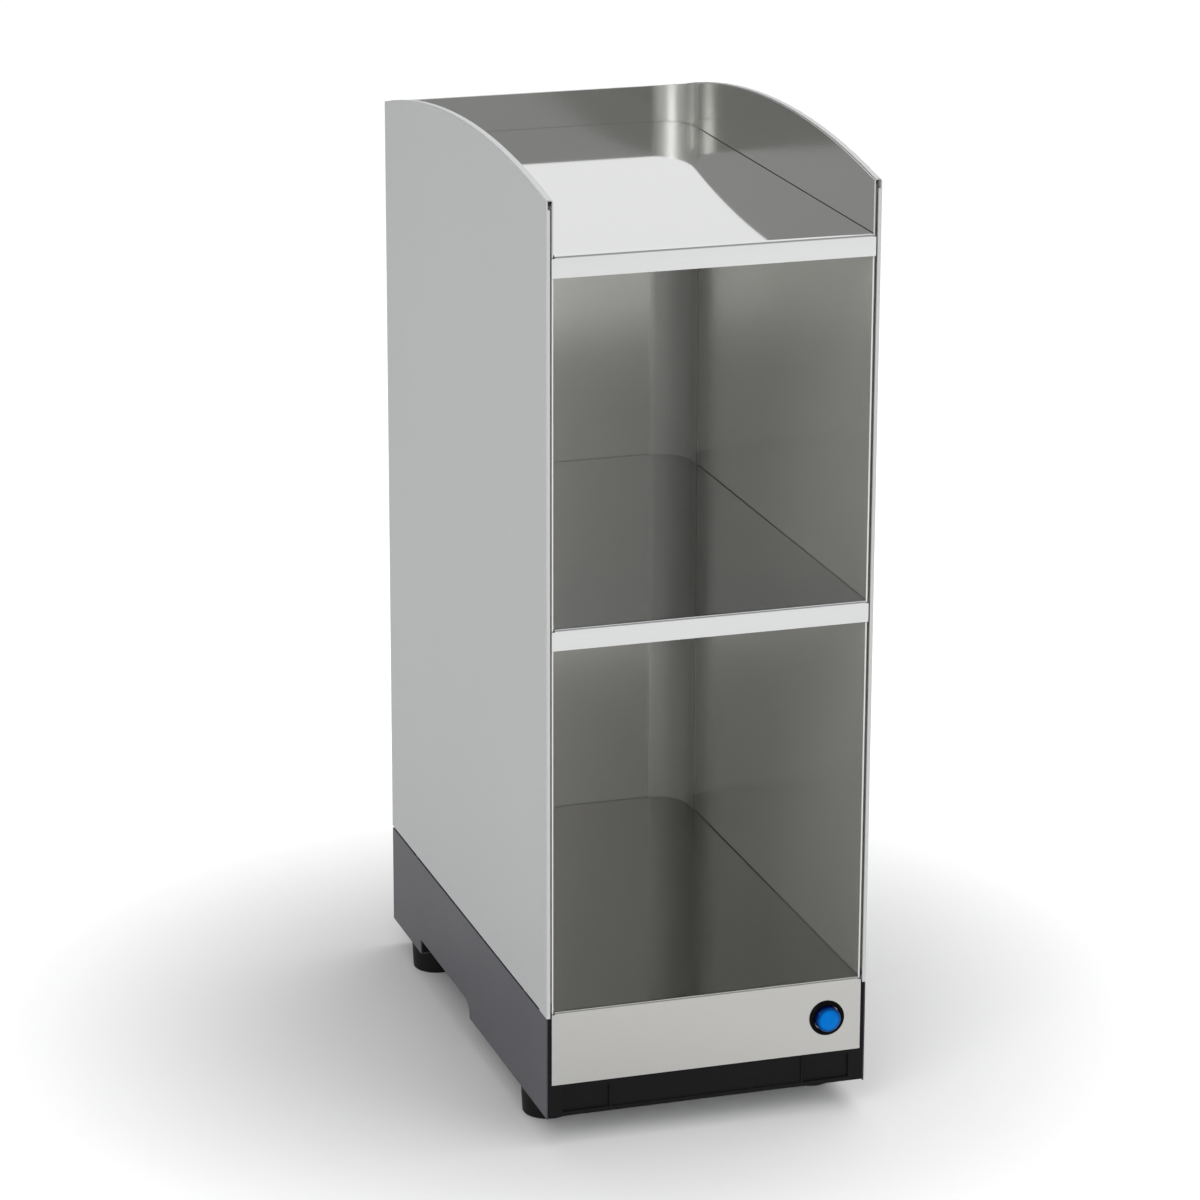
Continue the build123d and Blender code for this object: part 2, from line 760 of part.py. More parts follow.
# Base frame: black moulded ring with the front beam, hand pockets, foot bosses and screw posts
with BuildPart() as base_frame:
    with BuildSketch(Plane.XY.offset(frame_bottom)):
        with Locations((0, frame_front)):
            Rectangle(2 * frame_half, frame_back - frame_front, align=(Align.CENTER, Align.MIN))
        with Locations((0, frame_front + beam_wall)):
            Rectangle(
                2 * (frame_half - frame_wall),
                frame_back - frame_front - beam_wall - frame_wall,
                align=(Align.CENTER, Align.MIN),
                mode=Mode.SUBTRACT,
            )
    extrude(amount=frame_top - frame_bottom)
    # Room for the fascia above the front beam
    with BuildSketch(front_plane(frame_front)):
        with Locations((0, fascia_bottom - cover_gap)):
            Rectangle(2 * (lip_half + cover_gap), skirt_height, align=(Align.CENTER, Align.MIN))
    extrude(amount=-beam_wall, mode=Mode.SUBTRACT)
    # Shallow pockets and the wide recess in the face of the beam
    beam_top = fascia_bottom - cover_gap
    with BuildSketch(front_plane(frame_front)):
        for side in (-1, 1):
            with Locations((side * (half_width - pocket_inset), frame_bottom + pocket_margin)):
                Rectangle(
                    pocket_width,
                    beam_top - frame_bottom - 2 * pocket_margin,
                    align=(Align.MIN if side < 0 else Align.MAX, Align.MIN),
                )
    extrude(amount=-pocket_depth, mode=Mode.SUBTRACT)
    with BuildSketch(front_plane(frame_front)):
        with Locations((0, frame_bottom + pocket_margin)):
            Rectangle(
                2 * (half_width - pocket_inset - pocket_width - pocket_margin / 2),
                beam_top - frame_bottom,
                align=(Align.CENTER, Align.MIN),
            )
    extrude(amount=-middle_recess_depth, mode=Mode.SUBTRACT)
    # Upright ribs inside the side walls
    with BuildSketch(Plane.XY.offset(frame_bottom)):
        for side in (-1, 1):
            with Locations((side * frame_half, recess_front - rib_pitch)):
                with GridLocations(0, rib_pitch, 1, 3):
                    Rectangle(
                        frame_wall + rib_depth,
                        rib_thickness,
                        align=(Align.MIN if side < 0 else Align.MAX, Align.CENTER),
                    )
    extrude(amount=rib_height)
    # Foot bosses and screw posts
    with BuildSketch(Plane.XY.offset(frame_bottom)):
        with Locations(*foot_places.values()):
            Circle(boss_radius)
    extrude(amount=boss_height)
    with BuildSketch(Plane.XY.offset(frame_bottom)):
        with Locations(*post_places):
            Circle(post_radius)
    extrude(amount=post_height)
    # Shells of the hand pockets, cut open to the outside and below
    for side in (-1, 1):
        with BuildSketch(side_plane(side * (recess_inner - frame_wall))):
            add(recess_outline())
            offset(amount=frame_wall)
        extrude(amount=side * (recess_depth + frame_wall - skirt_sheet - sheet_gap))
    with BuildSketch(Plane.XY.offset(frame_bottom)):
        Rectangle(body_width, body_depth)
    extrude(amount=-skirt_bottom, mode=Mode.SUBTRACT)
    for side in (-1, 1):
        with BuildSketch(side_plane(side * recess_inner)):
            add(recess_outline())
        extrude(amount=side * recess_depth, mode=Mode.SUBTRACT)
    # Screw holes from below
    with BuildSketch(Plane.XY.offset(frame_bottom)):
        with Locations(*foot_places.values()):
            Circle(screw_radius + thread_gap)
        with Locations(*post_places):
            Circle(small_screw_radius + thread_gap)
    extrude(amount=small_screw_length + plate_thickness, mode=Mode.SUBTRACT)
    # Room for the heads of the lowest shelf screws
    with BuildSketch(side_plane(-half_width)):
        for depth in shelf_screw_depths:
            with Locations((depth, bottom_shelf_top - shelf_screw_drop - screw_notch_drop)):
                Rectangle(screw_notch_width, skirt_height, align=(Align.CENTER, Align.MIN))
    extrude(amount=body_width, mode=Mode.SUBTRACT)
    # Windows in the rear wall for the inlet, the vents and the leads
    with BuildSketch(front_plane(frame_back)):
        with Locations((inlet_x, inlet_height)):
            Rectangle(inlet_flange_width, inlet_flange_height - 2 * sheet_gap)
        with Locations((vent_centre_x, inlet_height)):
            Rectangle(vent_count * vent_pitch, vent_length + vent_width)
        with Locations((lead_column + lead_column_pitch / 2, frame_top)):
            Rectangle(
                lead_column_pitch + lead_slot_width,
                frame_top - lead_turn_height + lead_slot_height,
                align=(Align.CENTER, Align.MAX),
            )
    extrude(amount=frame_wall, mode=Mode.SUBTRACT)
save(base_frame, "base_frame")

# Side skirts: dark sheet with a return under the frame, hand recess cut in the lower edge
for name, side in (("left_skirt", -1), ("right_skirt", 1)):
    with BuildPart() as skirt:
        with BuildSketch(side_plane(side * half_width)):
            with Locations((y_front, skirt_bottom)):
                Rectangle(body_depth, skirt_height, align=(Align.MIN, Align.MIN))
        extrude(amount=-side * skirt_sheet)
        with BuildSketch(Plane.XY.offset(skirt_bottom)):
            with Locations((side * half_width, y_front + frame_wall + beam_wall)):
                Rectangle(
                    skirt_return,
                    body_depth - 2 * (frame_wall + beam_wall),
                    align=(Align.MIN if side < 0 else Align.MAX, Align.MIN),
                )
        extrude(amount=skirt_sheet)
        with BuildSketch(side_plane(side * half_width)):
            add(recess_outline())
        extrude(amount=-side * skirt_return, mode=Mode.SUBTRACT)
        with BuildSketch(Plane.XY.offset(skirt_bottom)):
            with Locations(*side_post_places):
                Circle(small_screw_radius + screw_gap)
        extrude(amount=skirt_sheet, mode=Mode.SUBTRACT)
    save(skirt, name)

# Rear skirt: carries the mains inlet and the vents
with BuildPart() as rear_skirt:
    with BuildSketch(front_plane(y_back)):
        with Locations((0, skirt_bottom)):
            Rectangle(
                2 * (half_width - skirt_sheet - sheet_gap), skirt_height, align=(Align.CENTER, Align.MIN)
            )
        with Locations((inlet_x, inlet_height)):
            Rectangle(inlet_body_width + sheet_gap, inlet_body_height + sheet_gap, mode=Mode.SUBTRACT)
            with GridLocations(inlet_screw_spacing, 0, 2, 1):
                Circle(small_screw_radius + thread_gap, mode=Mode.SUBTRACT)
        with Locations((vent_centre_x, inlet_height)):
            with GridLocations(vent_pitch, 0, vent_count, 1):
                SlotOverall(vent_length, vent_width, rotation=90, mode=Mode.SUBTRACT)
    extrude(amount=skirt_sheet)
    with BuildSketch(Plane.XY.offset(skirt_bottom)):
        with Locations((0, y_back)):
            Rectangle(
                2 * (half_width - skirt_return - sheet_gap), skirt_return, align=(Align.CENTER, Align.MAX)
            )
        with Locations(*rear_post_places):
            Circle(small_screw_radius + screw_gap, mode=Mode.SUBTRACT)
    extrude(amount=skirt_sheet)
save(rear_skirt, "rear_skirt")

# Base plate: closes the base from below, with vents between the hand pockets
with BuildPart() as base_plate:
    plate_half = half_width - skirt_return - sheet_gap
    plate_front = y_front + frame_wall + beam_wall
    plate_back = y_back - skirt_return - sheet_gap
    pocket_reach = frame_wall + cover_gap
    with BuildSketch(Plane.XY.offset(skirt_bottom)):
        with Locations((0, plate_front)):
            Rectangle(2 * plate_half, plate_back - plate_front, align=(Align.CENTER, Align.MIN))
        for side in (-1, 1):
            with Locations((side * (recess_inner - pocket_reach), (recess_front + recess_rear) / 2)):
                Rectangle(
                    recess_depth,
                    recess_length + 2 * pocket_reach,
                    align=(Align.MAX if side < 0 else Align.MIN, Align.CENTER),
                    mode=Mode.SUBTRACT,
                )
        with Locations(*foot_places.values()):
            Circle(screw_radius + screw_gap, mode=Mode.SUBTRACT)
        with Locations((0, (recess_front + recess_rear) / 2)):
            with GridLocations(0, 2 * vent_pitch, 1, plate_vent_count):
                SlotOverall(plate_vent_length, vent_width, mode=Mode.SUBTRACT)
    extrude(amount=plate_thickness)
save(base_plate, "base_plate")

with BuildPart() as base_screws:
    with BuildSketch(Plane.XY.offset(skirt_bottom)):
        with Locations(*post_places):
            Circle(small_head_radius)
    extrude(amount=-small_head_height)
    with BuildSketch(Plane.XY.offset(skirt_bottom)):
        with Locations(*post_places):
            Circle(small_screw_radius)
    extrude(amount=small_screw_length)
save(base_screws, "base_screws")

# Feet: rubber, a little wider at the top, with the screw and its washer let into the underside
for place, (x, y) in foot_places.items():
    with BuildPart() as foot:
        with BuildSketch(front_plane(y)):
            with BuildLine():
                FilletPolyline(
                    (x, 0),
                    (x + foot_radius, 0),
                    (x + foot_radius + foot_flare, foot_height),
                    radius=foot_round,
                )
                Polyline((x + foot_radius + foot_flare, foot_height), (x, foot_height), (x, 0))
            make_face()
        revolve(axis=Axis((x, y, 0), (0, 0, 1)))
        with Locations(Plane((x, y, 0), z_dir=(0, 0, -1))):
            CounterBoreHole(
                radius=screw_radius + screw_gap,
                counter_bore_radius=foot_bore_radius,
                counter_bore_depth=foot_bore_depth,
            )
    save(foot, f"foot_{place}")

with BuildPart() as foot_screws:
    with BuildSketch(Plane.XY.offset(foot_bore_depth - washer_thickness)):
        with Locations(*foot_places.values()):
            Circle(screw_head_radius)
    extrude(amount=-screw_head_height)
    with BuildSketch(Plane.XY.offset(foot_bore_depth - washer_thickness)):
        with Locations(*foot_places.values()):
            Circle(screw_radius)
    extrude(amount=foot_screw_length)
save(foot_screws, "foot_screws")

with BuildPart() as foot_washers:
    with BuildSketch(Plane.XY.offset(foot_bore_depth)):
        with Locations(*foot_places.values()):
            Circle(washer_radius)
            Circle(screw_radius + screw_gap, mode=Mode.SUBTRACT)
    extrude(amount=-washer_thickness)
save(foot_washers, "foot_washers")

# Switch: bezel with its barrel through the fascia, nut, body, and the cap that travels
with BuildPart() as switch_bezel:
    with BuildSketch(front_plane(y_front)):
        with Locations((switch_x, switch_height)):
            Circle(bezel_radius)
    extrude(amount=bezel_proud)
    fillet(switch_bezel.edges().group_by(Axis.Y)[0], bezel_round)
    with BuildSketch(front_plane(y_front)):
        with Locations((switch_x, switch_height)):
            Circle(barrel_radius)
    extrude(amount=-barrel_length)
    with BuildSketch(front_plane(y_front - bezel_proud)):
        with Locations((switch_x, switch_height)):
            Circle(button_radius + button_gap)
    extrude(amount=-(bezel_proud + barrel_length), mode=Mode.SUBTRACT)
save(switch_bezel, "switch_bezel")

with BuildPart() as power_button:
    with BuildSketch(front_plane(y_front - front_proud)):
        with Locations((switch_x, switch_height)):
            Circle(button_radius)
    extrude(amount=-button_length)
    fillet(power_button.edges().group_by(Axis.Y)[0], button_round)
    with BuildSketch(front_plane(y_front - front_proud + button_length)):
        with Locations((switch_x, switch_height)):
            Circle(stem_radius)
    extrude(amount=-stem_length)
save(power_button, "power_button")

with BuildPart() as switch_nut:
    with BuildSketch(front_plane(y_front + shelf_sheet)):
        with Locations((switch_x, switch_height)):
            RegularPolygon(nut_radius, 6, major_radius=False)
            Circle(barrel_radius + thread_gap, mode=Mode.SUBTRACT)
    extrude(amount=-nut_thickness)
save(switch_nut, "switch_nut")

with BuildPart() as switch_body:
    with BuildSketch(front_plane(y_front + barrel_length)):
        with Locations((switch_x, switch_height)):
            Rectangle(switch_body_side, switch_body_side)
    extrude(amount=-switch_body_length)
    chamfer(switch_body.edges().filter_by(Axis.Y), switch_body_chamfer)
    with BuildSketch(front_plane(y_front + barrel_length)):
        with Locations((switch_x, switch_height)):
            Circle(stem_radius + stem_gap)
    extrude(amount=-stem_bore_depth, mode=Mode.SUBTRACT)
save(switch_body, "switch_body")

with BuildPart() as switch_terminals:
    with BuildSketch(front_plane(y_front + barrel_length + switch_body_length)):
        with Locations((switch_x, switch_height)):
            with GridLocations(switch_body_side / 2, switch_body_side / 2, 2, 2):
                Rectangle(terminal_thickness, terminal_width)
    extrude(amount=-terminal_tail)
save(switch_terminals, "switch_terminals")

# Mains inlet: flange on the rear skirt, socket open to the rear, three flat contacts
with BuildPart() as mains_inlet:
    with BuildSketch(front_plane(y_back)):
        with Locations((inlet_x, inlet_height)):
            RectangleRounded(inlet_flange_width, inlet_flange_height, inlet_flange_round)
    extrude(amount=-inlet_flange_thickness)
    with BuildSketch(front_plane(y_back)):
        with Locations((inlet_x, inlet_height)):
            Rectangle(inlet_body_width, inlet_body_height)
    extrude(amount=inlet_body_depth)
    # Socket with two bevelled upper corners
    with BuildSketch(front_plane(inlet_outer)) as socket:
        with Locations((inlet_x, inlet_height)):
            Rectangle(inlet_cavity_width, inlet_cavity_height)
        chamfer(socket.vertices().group_by(Axis.Y)[-1], inlet_bevel)
    extrude(amount=inlet_cavity_depth, mode=Mode.SUBTRACT)
    # Slots for the contacts, and the screw holes
    with BuildSketch(front_plane(inlet_outer)):
        with Locations(*contact_places):
            Rectangle(pin_thickness + sheet_gap, pin_width + sheet_gap)
    extrude(amount=inlet_flange_thickness + inlet_body_depth, mode=Mode.SUBTRACT)
    inlet_face = Plane(
        (inlet_x, inlet_outer, inlet_height), x_dir=(1, 0, 0), z_dir=(0, 1, 0)
    )
    with Locations(inlet_face):
        with GridLocations(inlet_screw_spacing, 0, 2, 1):
            CounterBoreHole(
                radius=small_screw_radius + thread_gap,
                counter_bore_radius=small_head_radius + thread_gap,
                counter_bore_depth=small_head_height,
            )
save(mains_inlet, "mains_inlet")

with BuildPart() as inlet_contacts:
    with BuildSketch(front_plane(inlet_outer - pin_recess)):
        with Locations(*contact_places):
            Rectangle(pin_thickness, pin_width)
    extrude(amount=contact_length)
save(inlet_contacts, "inlet_contacts")

with BuildPart() as inlet_screws:
    with BuildSketch(front_plane(inlet_outer)):
        with Locations((inlet_x, inlet_height)):
            with GridLocations(inlet_screw_spacing, 0, 2, 1):
                Circle(small_head_radius)
    extrude(amount=small_head_height)
    with BuildSketch(front_plane(inlet_outer)):
        with Locations((inlet_x, inlet_height)):
            with GridLocations(inlet_screw_spacing, 0, 2, 1):
                Circle(small_screw_radius)
    extrude(amount=small_screw_length)
save(inlet_screws, "inlet_screws")

# Terminal block on the base plate, one pole for each pair of leads that meets there
with BuildPart() as terminal_block:
    with BuildSketch(Plane.XY.offset(plate_top)):
        with Locations((lead_column, block_y)):
            Rectangle(block_width, block_depth)
    extrude(amount=block_height)
    chamfer(terminal_block.edges().group_by(Axis.Z)[-1].filter_by(Axis.X), block_chamfer)
    with BuildSketch(Plane.XY.offset(plate_top + block_height)):
        with Locations((lead_column, block_y)):
            with GridLocations(lead_spacing, 0, pole_count, 1):
                Circle(small_screw_radius + screw_gap)
    extrude(amount=-block_screw_depth, mode=Mode.SUBTRACT)
save(terminal_block, "terminal_block")

with BuildPart() as terminal_screws:
    with BuildSketch(Plane.XY.offset(plate_top + block_height - block_screw_depth)):
        with Locations((lead_column, block_y)):
            with GridLocations(lead_spacing, 0, pole_count, 1):
                Circle(small_screw_radius)
    extrude(amount=block_screw_height)
save(terminal_screws, "terminal_screws")

# Earth stud with its nut, under the cover of the lower shelf
with BuildPart() as earth_stud:
    with BuildSketch(Plane.XY.offset(lower_cover_bottom)):
        with Locations((earth_x, earth_y)):
            Circle(screw_radius)
    extrude(amount=-earth_stud_length)
    with BuildSketch(Plane.XY.offset(lower_cover_bottom)):
        with Locations((earth_x, earth_y)):
            RegularPolygon(screw_head_radius, 6, major_radius=False)
    extrude(amount=-screw_head_height)
save(earth_stud, "earth_stud")

# Leads of the heaters, from under each mat to the rear face of the terminal block
for shelf_name, column in lead_columns.items():
    lead_z = lead_height(shelf_name) - sheet_gap - lead_radius
    wires = []
    for x in (column - lead_spacing / 2, column + lead_spacing / 2):
        start = (x, lead_starts[shelf_name], lead_z)
        finish = (x, block_y + block_depth / 2, block_wire_height)
        if shelf_name == "lower":
            bends = [(x, lower_lead_y, lead_z), (x, lower_lead_y, block_wire_height)]
        else:
            bends = [
                (x, cavity_y, lead_z),
                (x, cavity_y, lead_turn_height),
                (x, rear_lead_y, lead_turn_height),
                (x, rear_lead_y, block_wire_height),
            ]
        wires.append(lead(start, *bends, finish))
    with BuildPart() as heater_leads:
        add(wires)
    save(heater_leads, f"{shelf_name}_heater_leads")

# Leads from the switch and from the inlet to the front face of the terminal block
switch_wires = []
inlet_wires = []
for step in (-1, 1):
    terminal_x = switch_x + step * switch_body_side / 4
    terminal_z = switch_height - switch_body_side / 4
    block_x = lead_columns["top"] + step * lead_spacing / 2
    switch_wires.append(
        lead(
            (terminal_x, switch_tail_y, terminal_z),
            (terminal_x, switch_tail_y + lead_run, terminal_z),
            (block_x, block_y - 2 * lead_run, block_wire_height),
            (block_x, block_y - block_depth / 2, block_wire_height),
        )
    )
    contact_x = inlet_x + step * pin_spacing / 2
    contact_z = inlet_height - pin_offset
    block_x = lead_columns["lower"] + step * lead_spacing / 2
    turn_y = block_y - (2 + step / 4) * lead_run
    inlet_wires.append(
        lead(
            (contact_x, inlet_tail_y, contact_z),
            (contact_x, turn_y, contact_z),
            (block_x, turn_y, block_wire_height),
            (block_x, block_y - block_depth / 2, block_wire_height),
        )
    )
with BuildPart() as switch_leads:
    add(switch_wires)
save(switch_leads, "switch_leads")
with BuildPart() as inlet_leads:
    add(inlet_wires)
save(inlet_leads, "inlet_leads")

earth_wire = lead(
    (inlet_x, inlet_tail_y, inlet_height + pin_offset),
    (inlet_x, earth_y, inlet_height + pin_offset),
    (inlet_x, earth_y, earth_wire_height),
    (earth_x - nut_reach, earth_y, earth_wire_height),
)
with BuildPart() as earth_lead:
    add(earth_wire)
save(earth_lead, "earth_lead")
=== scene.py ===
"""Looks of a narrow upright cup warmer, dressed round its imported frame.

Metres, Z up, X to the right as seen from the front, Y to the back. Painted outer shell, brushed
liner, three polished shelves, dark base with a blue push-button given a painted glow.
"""

import math

import bmesh
import bpy
from mathutils import Matrix, Vector


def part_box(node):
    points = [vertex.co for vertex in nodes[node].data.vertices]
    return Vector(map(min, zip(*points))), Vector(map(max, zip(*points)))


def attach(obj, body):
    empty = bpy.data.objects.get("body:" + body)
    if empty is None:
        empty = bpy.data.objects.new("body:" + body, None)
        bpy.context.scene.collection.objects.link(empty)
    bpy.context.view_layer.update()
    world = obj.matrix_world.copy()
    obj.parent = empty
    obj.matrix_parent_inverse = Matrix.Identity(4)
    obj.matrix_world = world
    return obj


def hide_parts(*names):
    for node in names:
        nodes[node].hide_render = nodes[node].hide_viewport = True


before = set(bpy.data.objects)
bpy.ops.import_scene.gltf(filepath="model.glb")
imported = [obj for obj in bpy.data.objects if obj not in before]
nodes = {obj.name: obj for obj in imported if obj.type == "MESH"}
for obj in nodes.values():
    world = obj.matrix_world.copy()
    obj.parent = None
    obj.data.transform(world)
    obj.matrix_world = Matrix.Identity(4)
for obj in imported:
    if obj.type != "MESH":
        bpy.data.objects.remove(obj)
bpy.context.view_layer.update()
scene = bpy.context.scene

# Viewpoint of the photograph: a long lens to the left of the front, looking down a little.
# Its place, turns and focal length, in pixels of the photograph, are fitted to the edges.
photo_side = 1200
focal_pixels = 4685.0
sensor_width = 36.0
view_reach = 100
camera_place = Vector((-0.973, -3.000, 1.308))
camera_yaw = math.radians(17.70)
camera_pitch = math.radians(17.38)
camera_roll = math.radians(0.17)

camera_data = bpy.data.cameras.new("photo_camera")
camera_data.sensor_width = sensor_width
camera_data.lens = sensor_width * focal_pixels / photo_side
camera_data.clip_end = view_reach
camera = bpy.data.objects.new("photo_camera", camera_data)
scene.collection.objects.link(camera)
heading = Matrix.Rotation(-camera_yaw, 4, "Z")
tilt = Matrix.Rotation(math.pi / 2 - camera_pitch, 4, "X")
roll = Matrix.Rotation(camera_roll, 4, "Z")
camera.matrix_world = Matrix.Translation(camera_place) @ heading @ tilt @ roll
scene.camera = camera
scene.view_settings.view_transform = "Standard"


# Studio surround: white to the camera, even light for matt surfaces, and for polished metal a
# mirrored room that is brighter at the back. Levels go from front to back, or left to right.
white = (1, 1, 1, 1)
matt_levels = (1.5, 0.42)
matt_span = (-0.9, 0.1)
low_back_levels = (0.49, 1.0)
low_back_span = (-0.15, 0.2)
low_front_level = 0.5
low_span = (-0.35, 0.25)
high_levels = (0.25, 1.2)
high_span = (-0.75, -0.15)
rise_span = (0.3, 0.75)


def feed(tree, entry, value):
    """Gives a node's input a value, or a link from another node's output."""
    if isinstance(value, bpy.types.NodeSocket):
        tree.links.new(value, entry)
    else:
        entry.default_value = value


def shade_node(tree, kind, **entries):
    """Adds a shader node and feeds the inputs that are named, with spaces as underscores."""
    node = tree.nodes.new(kind)
    for entry, value in entries.items():
        feed(tree, node.inputs[entry.replace("_", " ")], value)
    return node


def sum_node(tree, operation, *values, kind="ShaderNodeMath", result="Value"):
    """Adds a Math or Vector Math node, feeds its first inputs and gives its result."""
    node = tree.nodes.new(kind)
    node.operation = operation
    for entry, value in zip(node.inputs, values):
        feed(tree, entry, value)
    return node.outputs[result]


def ramp_node(tree, value, span=(0, 1), levels=(0, 1), eased=False):
    """Adds a Map Range that takes a value over a span to two levels, and gives its result."""
    ramp = shade_node(
        tree, "ShaderNodeMapRange", Value=value,
        From_Min=span[0], From_Max=span[1], To_Min=levels[0], To_Max=levels[1],
    )
    if eased:
        ramp.interpolation_type = "SMOOTHSTEP"
    return ramp.outputs["Result"]


def mix_node(tree, factor, first, second, kind="FLOAT"):
    """Adds a Mix node between two values or two colours, and gives its result."""
    mix = tree.nodes.new("ShaderNodeMix")
    mix.data_type = kind
    for entry, value in (("Factor", factor), ("A", first), ("B", second)):
        feed(tree, mix.inputs[entry], value)
    return mix.outputs["Result"]


surround = bpy.data.worlds.new("studio")
surround.use_nodes = True
scene.world = surround
tree = surround.node_tree
tree.nodes.clear()
rays = tree.nodes.new("ShaderNodeLightPath").outputs
seen_rays = sum_node(tree, "MAXIMUM", rays["Is Camera Ray"], rays["Is Transmission Ray"])
direction = tree.nodes.new("ShaderNodeTexCoord").outputs["Generated"]
towards = shade_node(tree, "ShaderNodeSeparateXYZ", Vector=direction).outputs
low_back = ramp_node(tree, towards["X"], low_back_span, low_back_levels, eased=True)
low_room = ramp_node(tree, towards["Y"], low_span, (low_front_level, low_back), eased=True)
high_room = ramp_node(tree, towards["Y"], high_span, high_levels, eased=True)
rise = ramp_node(tree, towards["Z"], rise_span, eased=True)
mirrored_room = mix_node(tree, rise, low_room, high_room)
matt_light = ramp_node(tree, towards["Y"], matt_span, matt_levels, eased=True)
room_light = mix_node(tree, rays["Is Glossy Ray"], matt_light, mirrored_room)
shown_room = mix_node(tree, seen_rays, room_light, 1.0)
glow = shade_node(tree, "ShaderNodeBackground", Color=white, Strength=shown_room)
shade_node(tree, "ShaderNodeOutputWorld", Surface=glow.outputs["Background"])


# Studio floor and lamps: a matt floor that keeps the object's shadow, with soft boxes above it
# and at the front. For the camera and in the metal it is darker near the object and brightens to
# white a little way off: a painted shadow pool round the object.
floor_half = 30.0
floor_tone = 0.85
painted_shade_floor_tone = 0.7
camera_lift = 0.42
seen_span = (0.18, 0.6)
horizon_lift = 0.6
horizon_span = (1.6, 9.0)
mirrored_lift = 0.18
mirrored_span = (0.35, 2.4)
lamp_aim = Vector((0, 0, 0.35))
# place, side, power, whether the metal mirrors it, whether it lights matt surfaces
soft_boxes = {
    "key_box": ((-1.5, -2.0, 2.4), 1.4, 15, True, True),
    "fill_box": ((1.6, -2.4, 1.2), 1.6, 9, False, True),
    "top_box": ((0.8, 0.3, 2.8), 2.4, 38, False, True),
    "left_strip": ((-2.3, -1.7, 1.0), 0.7, 7, False, True),
    "left_card": ((-2.1, -1.65, 1.5), 0.9, 24, True, False),
}

shape = bmesh.new()
bmesh.ops.create_grid(shape, x_segments=1, y_segments=1, size=floor_half)
floor_mesh = bpy.data.meshes.new("studio_floor")
shape.to_mesh(floor_mesh)
shape.free()
floor = bpy.data.objects.new("studio_floor", floor_mesh)
scene.collection.objects.link(floor)
floor_paint = bpy.data.materials.new("studio_floor")
floor_paint.use_nodes = True
tree = floor_paint.node_tree
tree.nodes.clear()
rays = tree.nodes.new("ShaderNodeLightPath").outputs
# To the camera the floor is toned darker, painted shade that the lifts below bring to white further
# off.
floor_white = ramp_node(tree, rays["Is Camera Ray"], levels=(floor_tone, painted_shade_floor_tone))
matt = shade_node(tree, "ShaderNodeBsdfDiffuse", Color=floor_white)
ground = tree.nodes.new("ShaderNodeTexCoord").outputs["Object"]
reach = sum_node(tree, "LENGTH", ground, kind="ShaderNodeVectorMath")
# Lifts that are zero near the object and grow outwards: a painted shadow pool round it, for the
# camera and in the metal.
horizon_glow = ramp_node(tree, reach, horizon_span, (camera_lift, horizon_lift))
seen_glow = ramp_node(tree, reach, seen_span, (0, horizon_glow), eased=True)
mirrored_glow = ramp_node(tree, reach, mirrored_span, (0, mirrored_lift), eased=True)
in_metal = sum_node(tree, "MULTIPLY", rays["Is Glossy Ray"], mirrored_glow)
lift = sum_node(tree, "MULTIPLY_ADD", rays["Is Camera Ray"], seen_glow, in_metal)
backlight = shade_node(tree, "ShaderNodeEmission", Color=white, Strength=lift)
both = tree.nodes.new("ShaderNodeAddShader")
feed(tree, both.inputs[0], matt.outputs["BSDF"])
feed(tree, both.inputs[1], backlight.outputs["Emission"])
shade_node(tree, "ShaderNodeOutputMaterial", Surface=both.outputs["Shader"])
floor_mesh.materials.append(floor_paint)

for name, (lamp_place, side, power, mirrored, lights_matt) in soft_boxes.items():
    lamp_data = bpy.data.lights.new(name, "AREA")
    lamp_data.shape = "SQUARE"
    lamp_data.size = side
    lamp_data.energy = power
    lamp = bpy.data.objects.new(name, lamp_data)
    scene.collection.objects.link(lamp)
    lamp.location = lamp_place
    lamp.visible_glossy = mirrored
    lamp.visible_diffuse = lights_matt
    lamp.rotation_euler = (lamp_aim - Vector(lamp_place)).to_track_quat("-Z", "Y").to_euler()


# Outer shell: two side panels and the rear panel, steel sheet with a satin silver-grey powder
# coat. The coat shows a fine orange peel, and its tone and gloss drift a little.
panel_tone = (0.41, 0.42, 0.422)
coat_uneven = 0.06
least_roughness = 0.01


def effect_group(name, inputs, outputs):
    """Starts a shader node group with named float, vector or colour sockets."""
    group = bpy.data.node_groups.new(name, "ShaderNodeTree")
    for entry, kind, value in inputs:
        socket = group.interface.new_socket(name=entry, in_out="INPUT", socket_type=kind)
        socket.default_value = value
    for entry, kind in outputs:
        group.interface.new_socket(name=entry, in_out="OUTPUT", socket_type=kind)
    start = group.nodes.new("NodeGroupInput")
    end = group.nodes.new("NodeGroupOutput")
    return group, start.outputs, end.inputs


def noise(tree, spot, scale, detail, roughness):
    """Adds a noise texture and gives its value."""
    return shade_node(
        tree, "ShaderNodeTexNoise", Vector=spot, Scale=scale, Detail=detail, Roughness=roughness
    ).outputs["Fac"]


# Peel of a sprayed coat or a moulded skin: small even bumps with slow patches over them
peel, start, end = effect_group(
    "surface_peel",
    [("Scale", "NodeSocketFloat", 900.0), ("Patch Scale", "NodeSocketFloat", 14.0)],
    [("Height", "NodeSocketFloat"), ("Patches", "NodeSocketFloat")],
)
spot = peel.nodes.new("ShaderNodeTexCoord").outputs["Object"]
feed(peel, end["Height"], noise(peel, spot, start["Scale"], detail=2.0, roughness=0.45))
feed(peel, end["Patches"], noise(peel, spot, start["Patch Scale"], detail=3.0, roughness=0.5))


def effect_node(tree, group, settings):
    """Places an effect group in a material with its own settings, and gives its outputs."""
    effect = tree.nodes.new("ShaderNodeGroup")
    effect.node_tree = group
    for entry, value in settings.items():
        effect.inputs[entry].default_value = value
    return effect.outputs


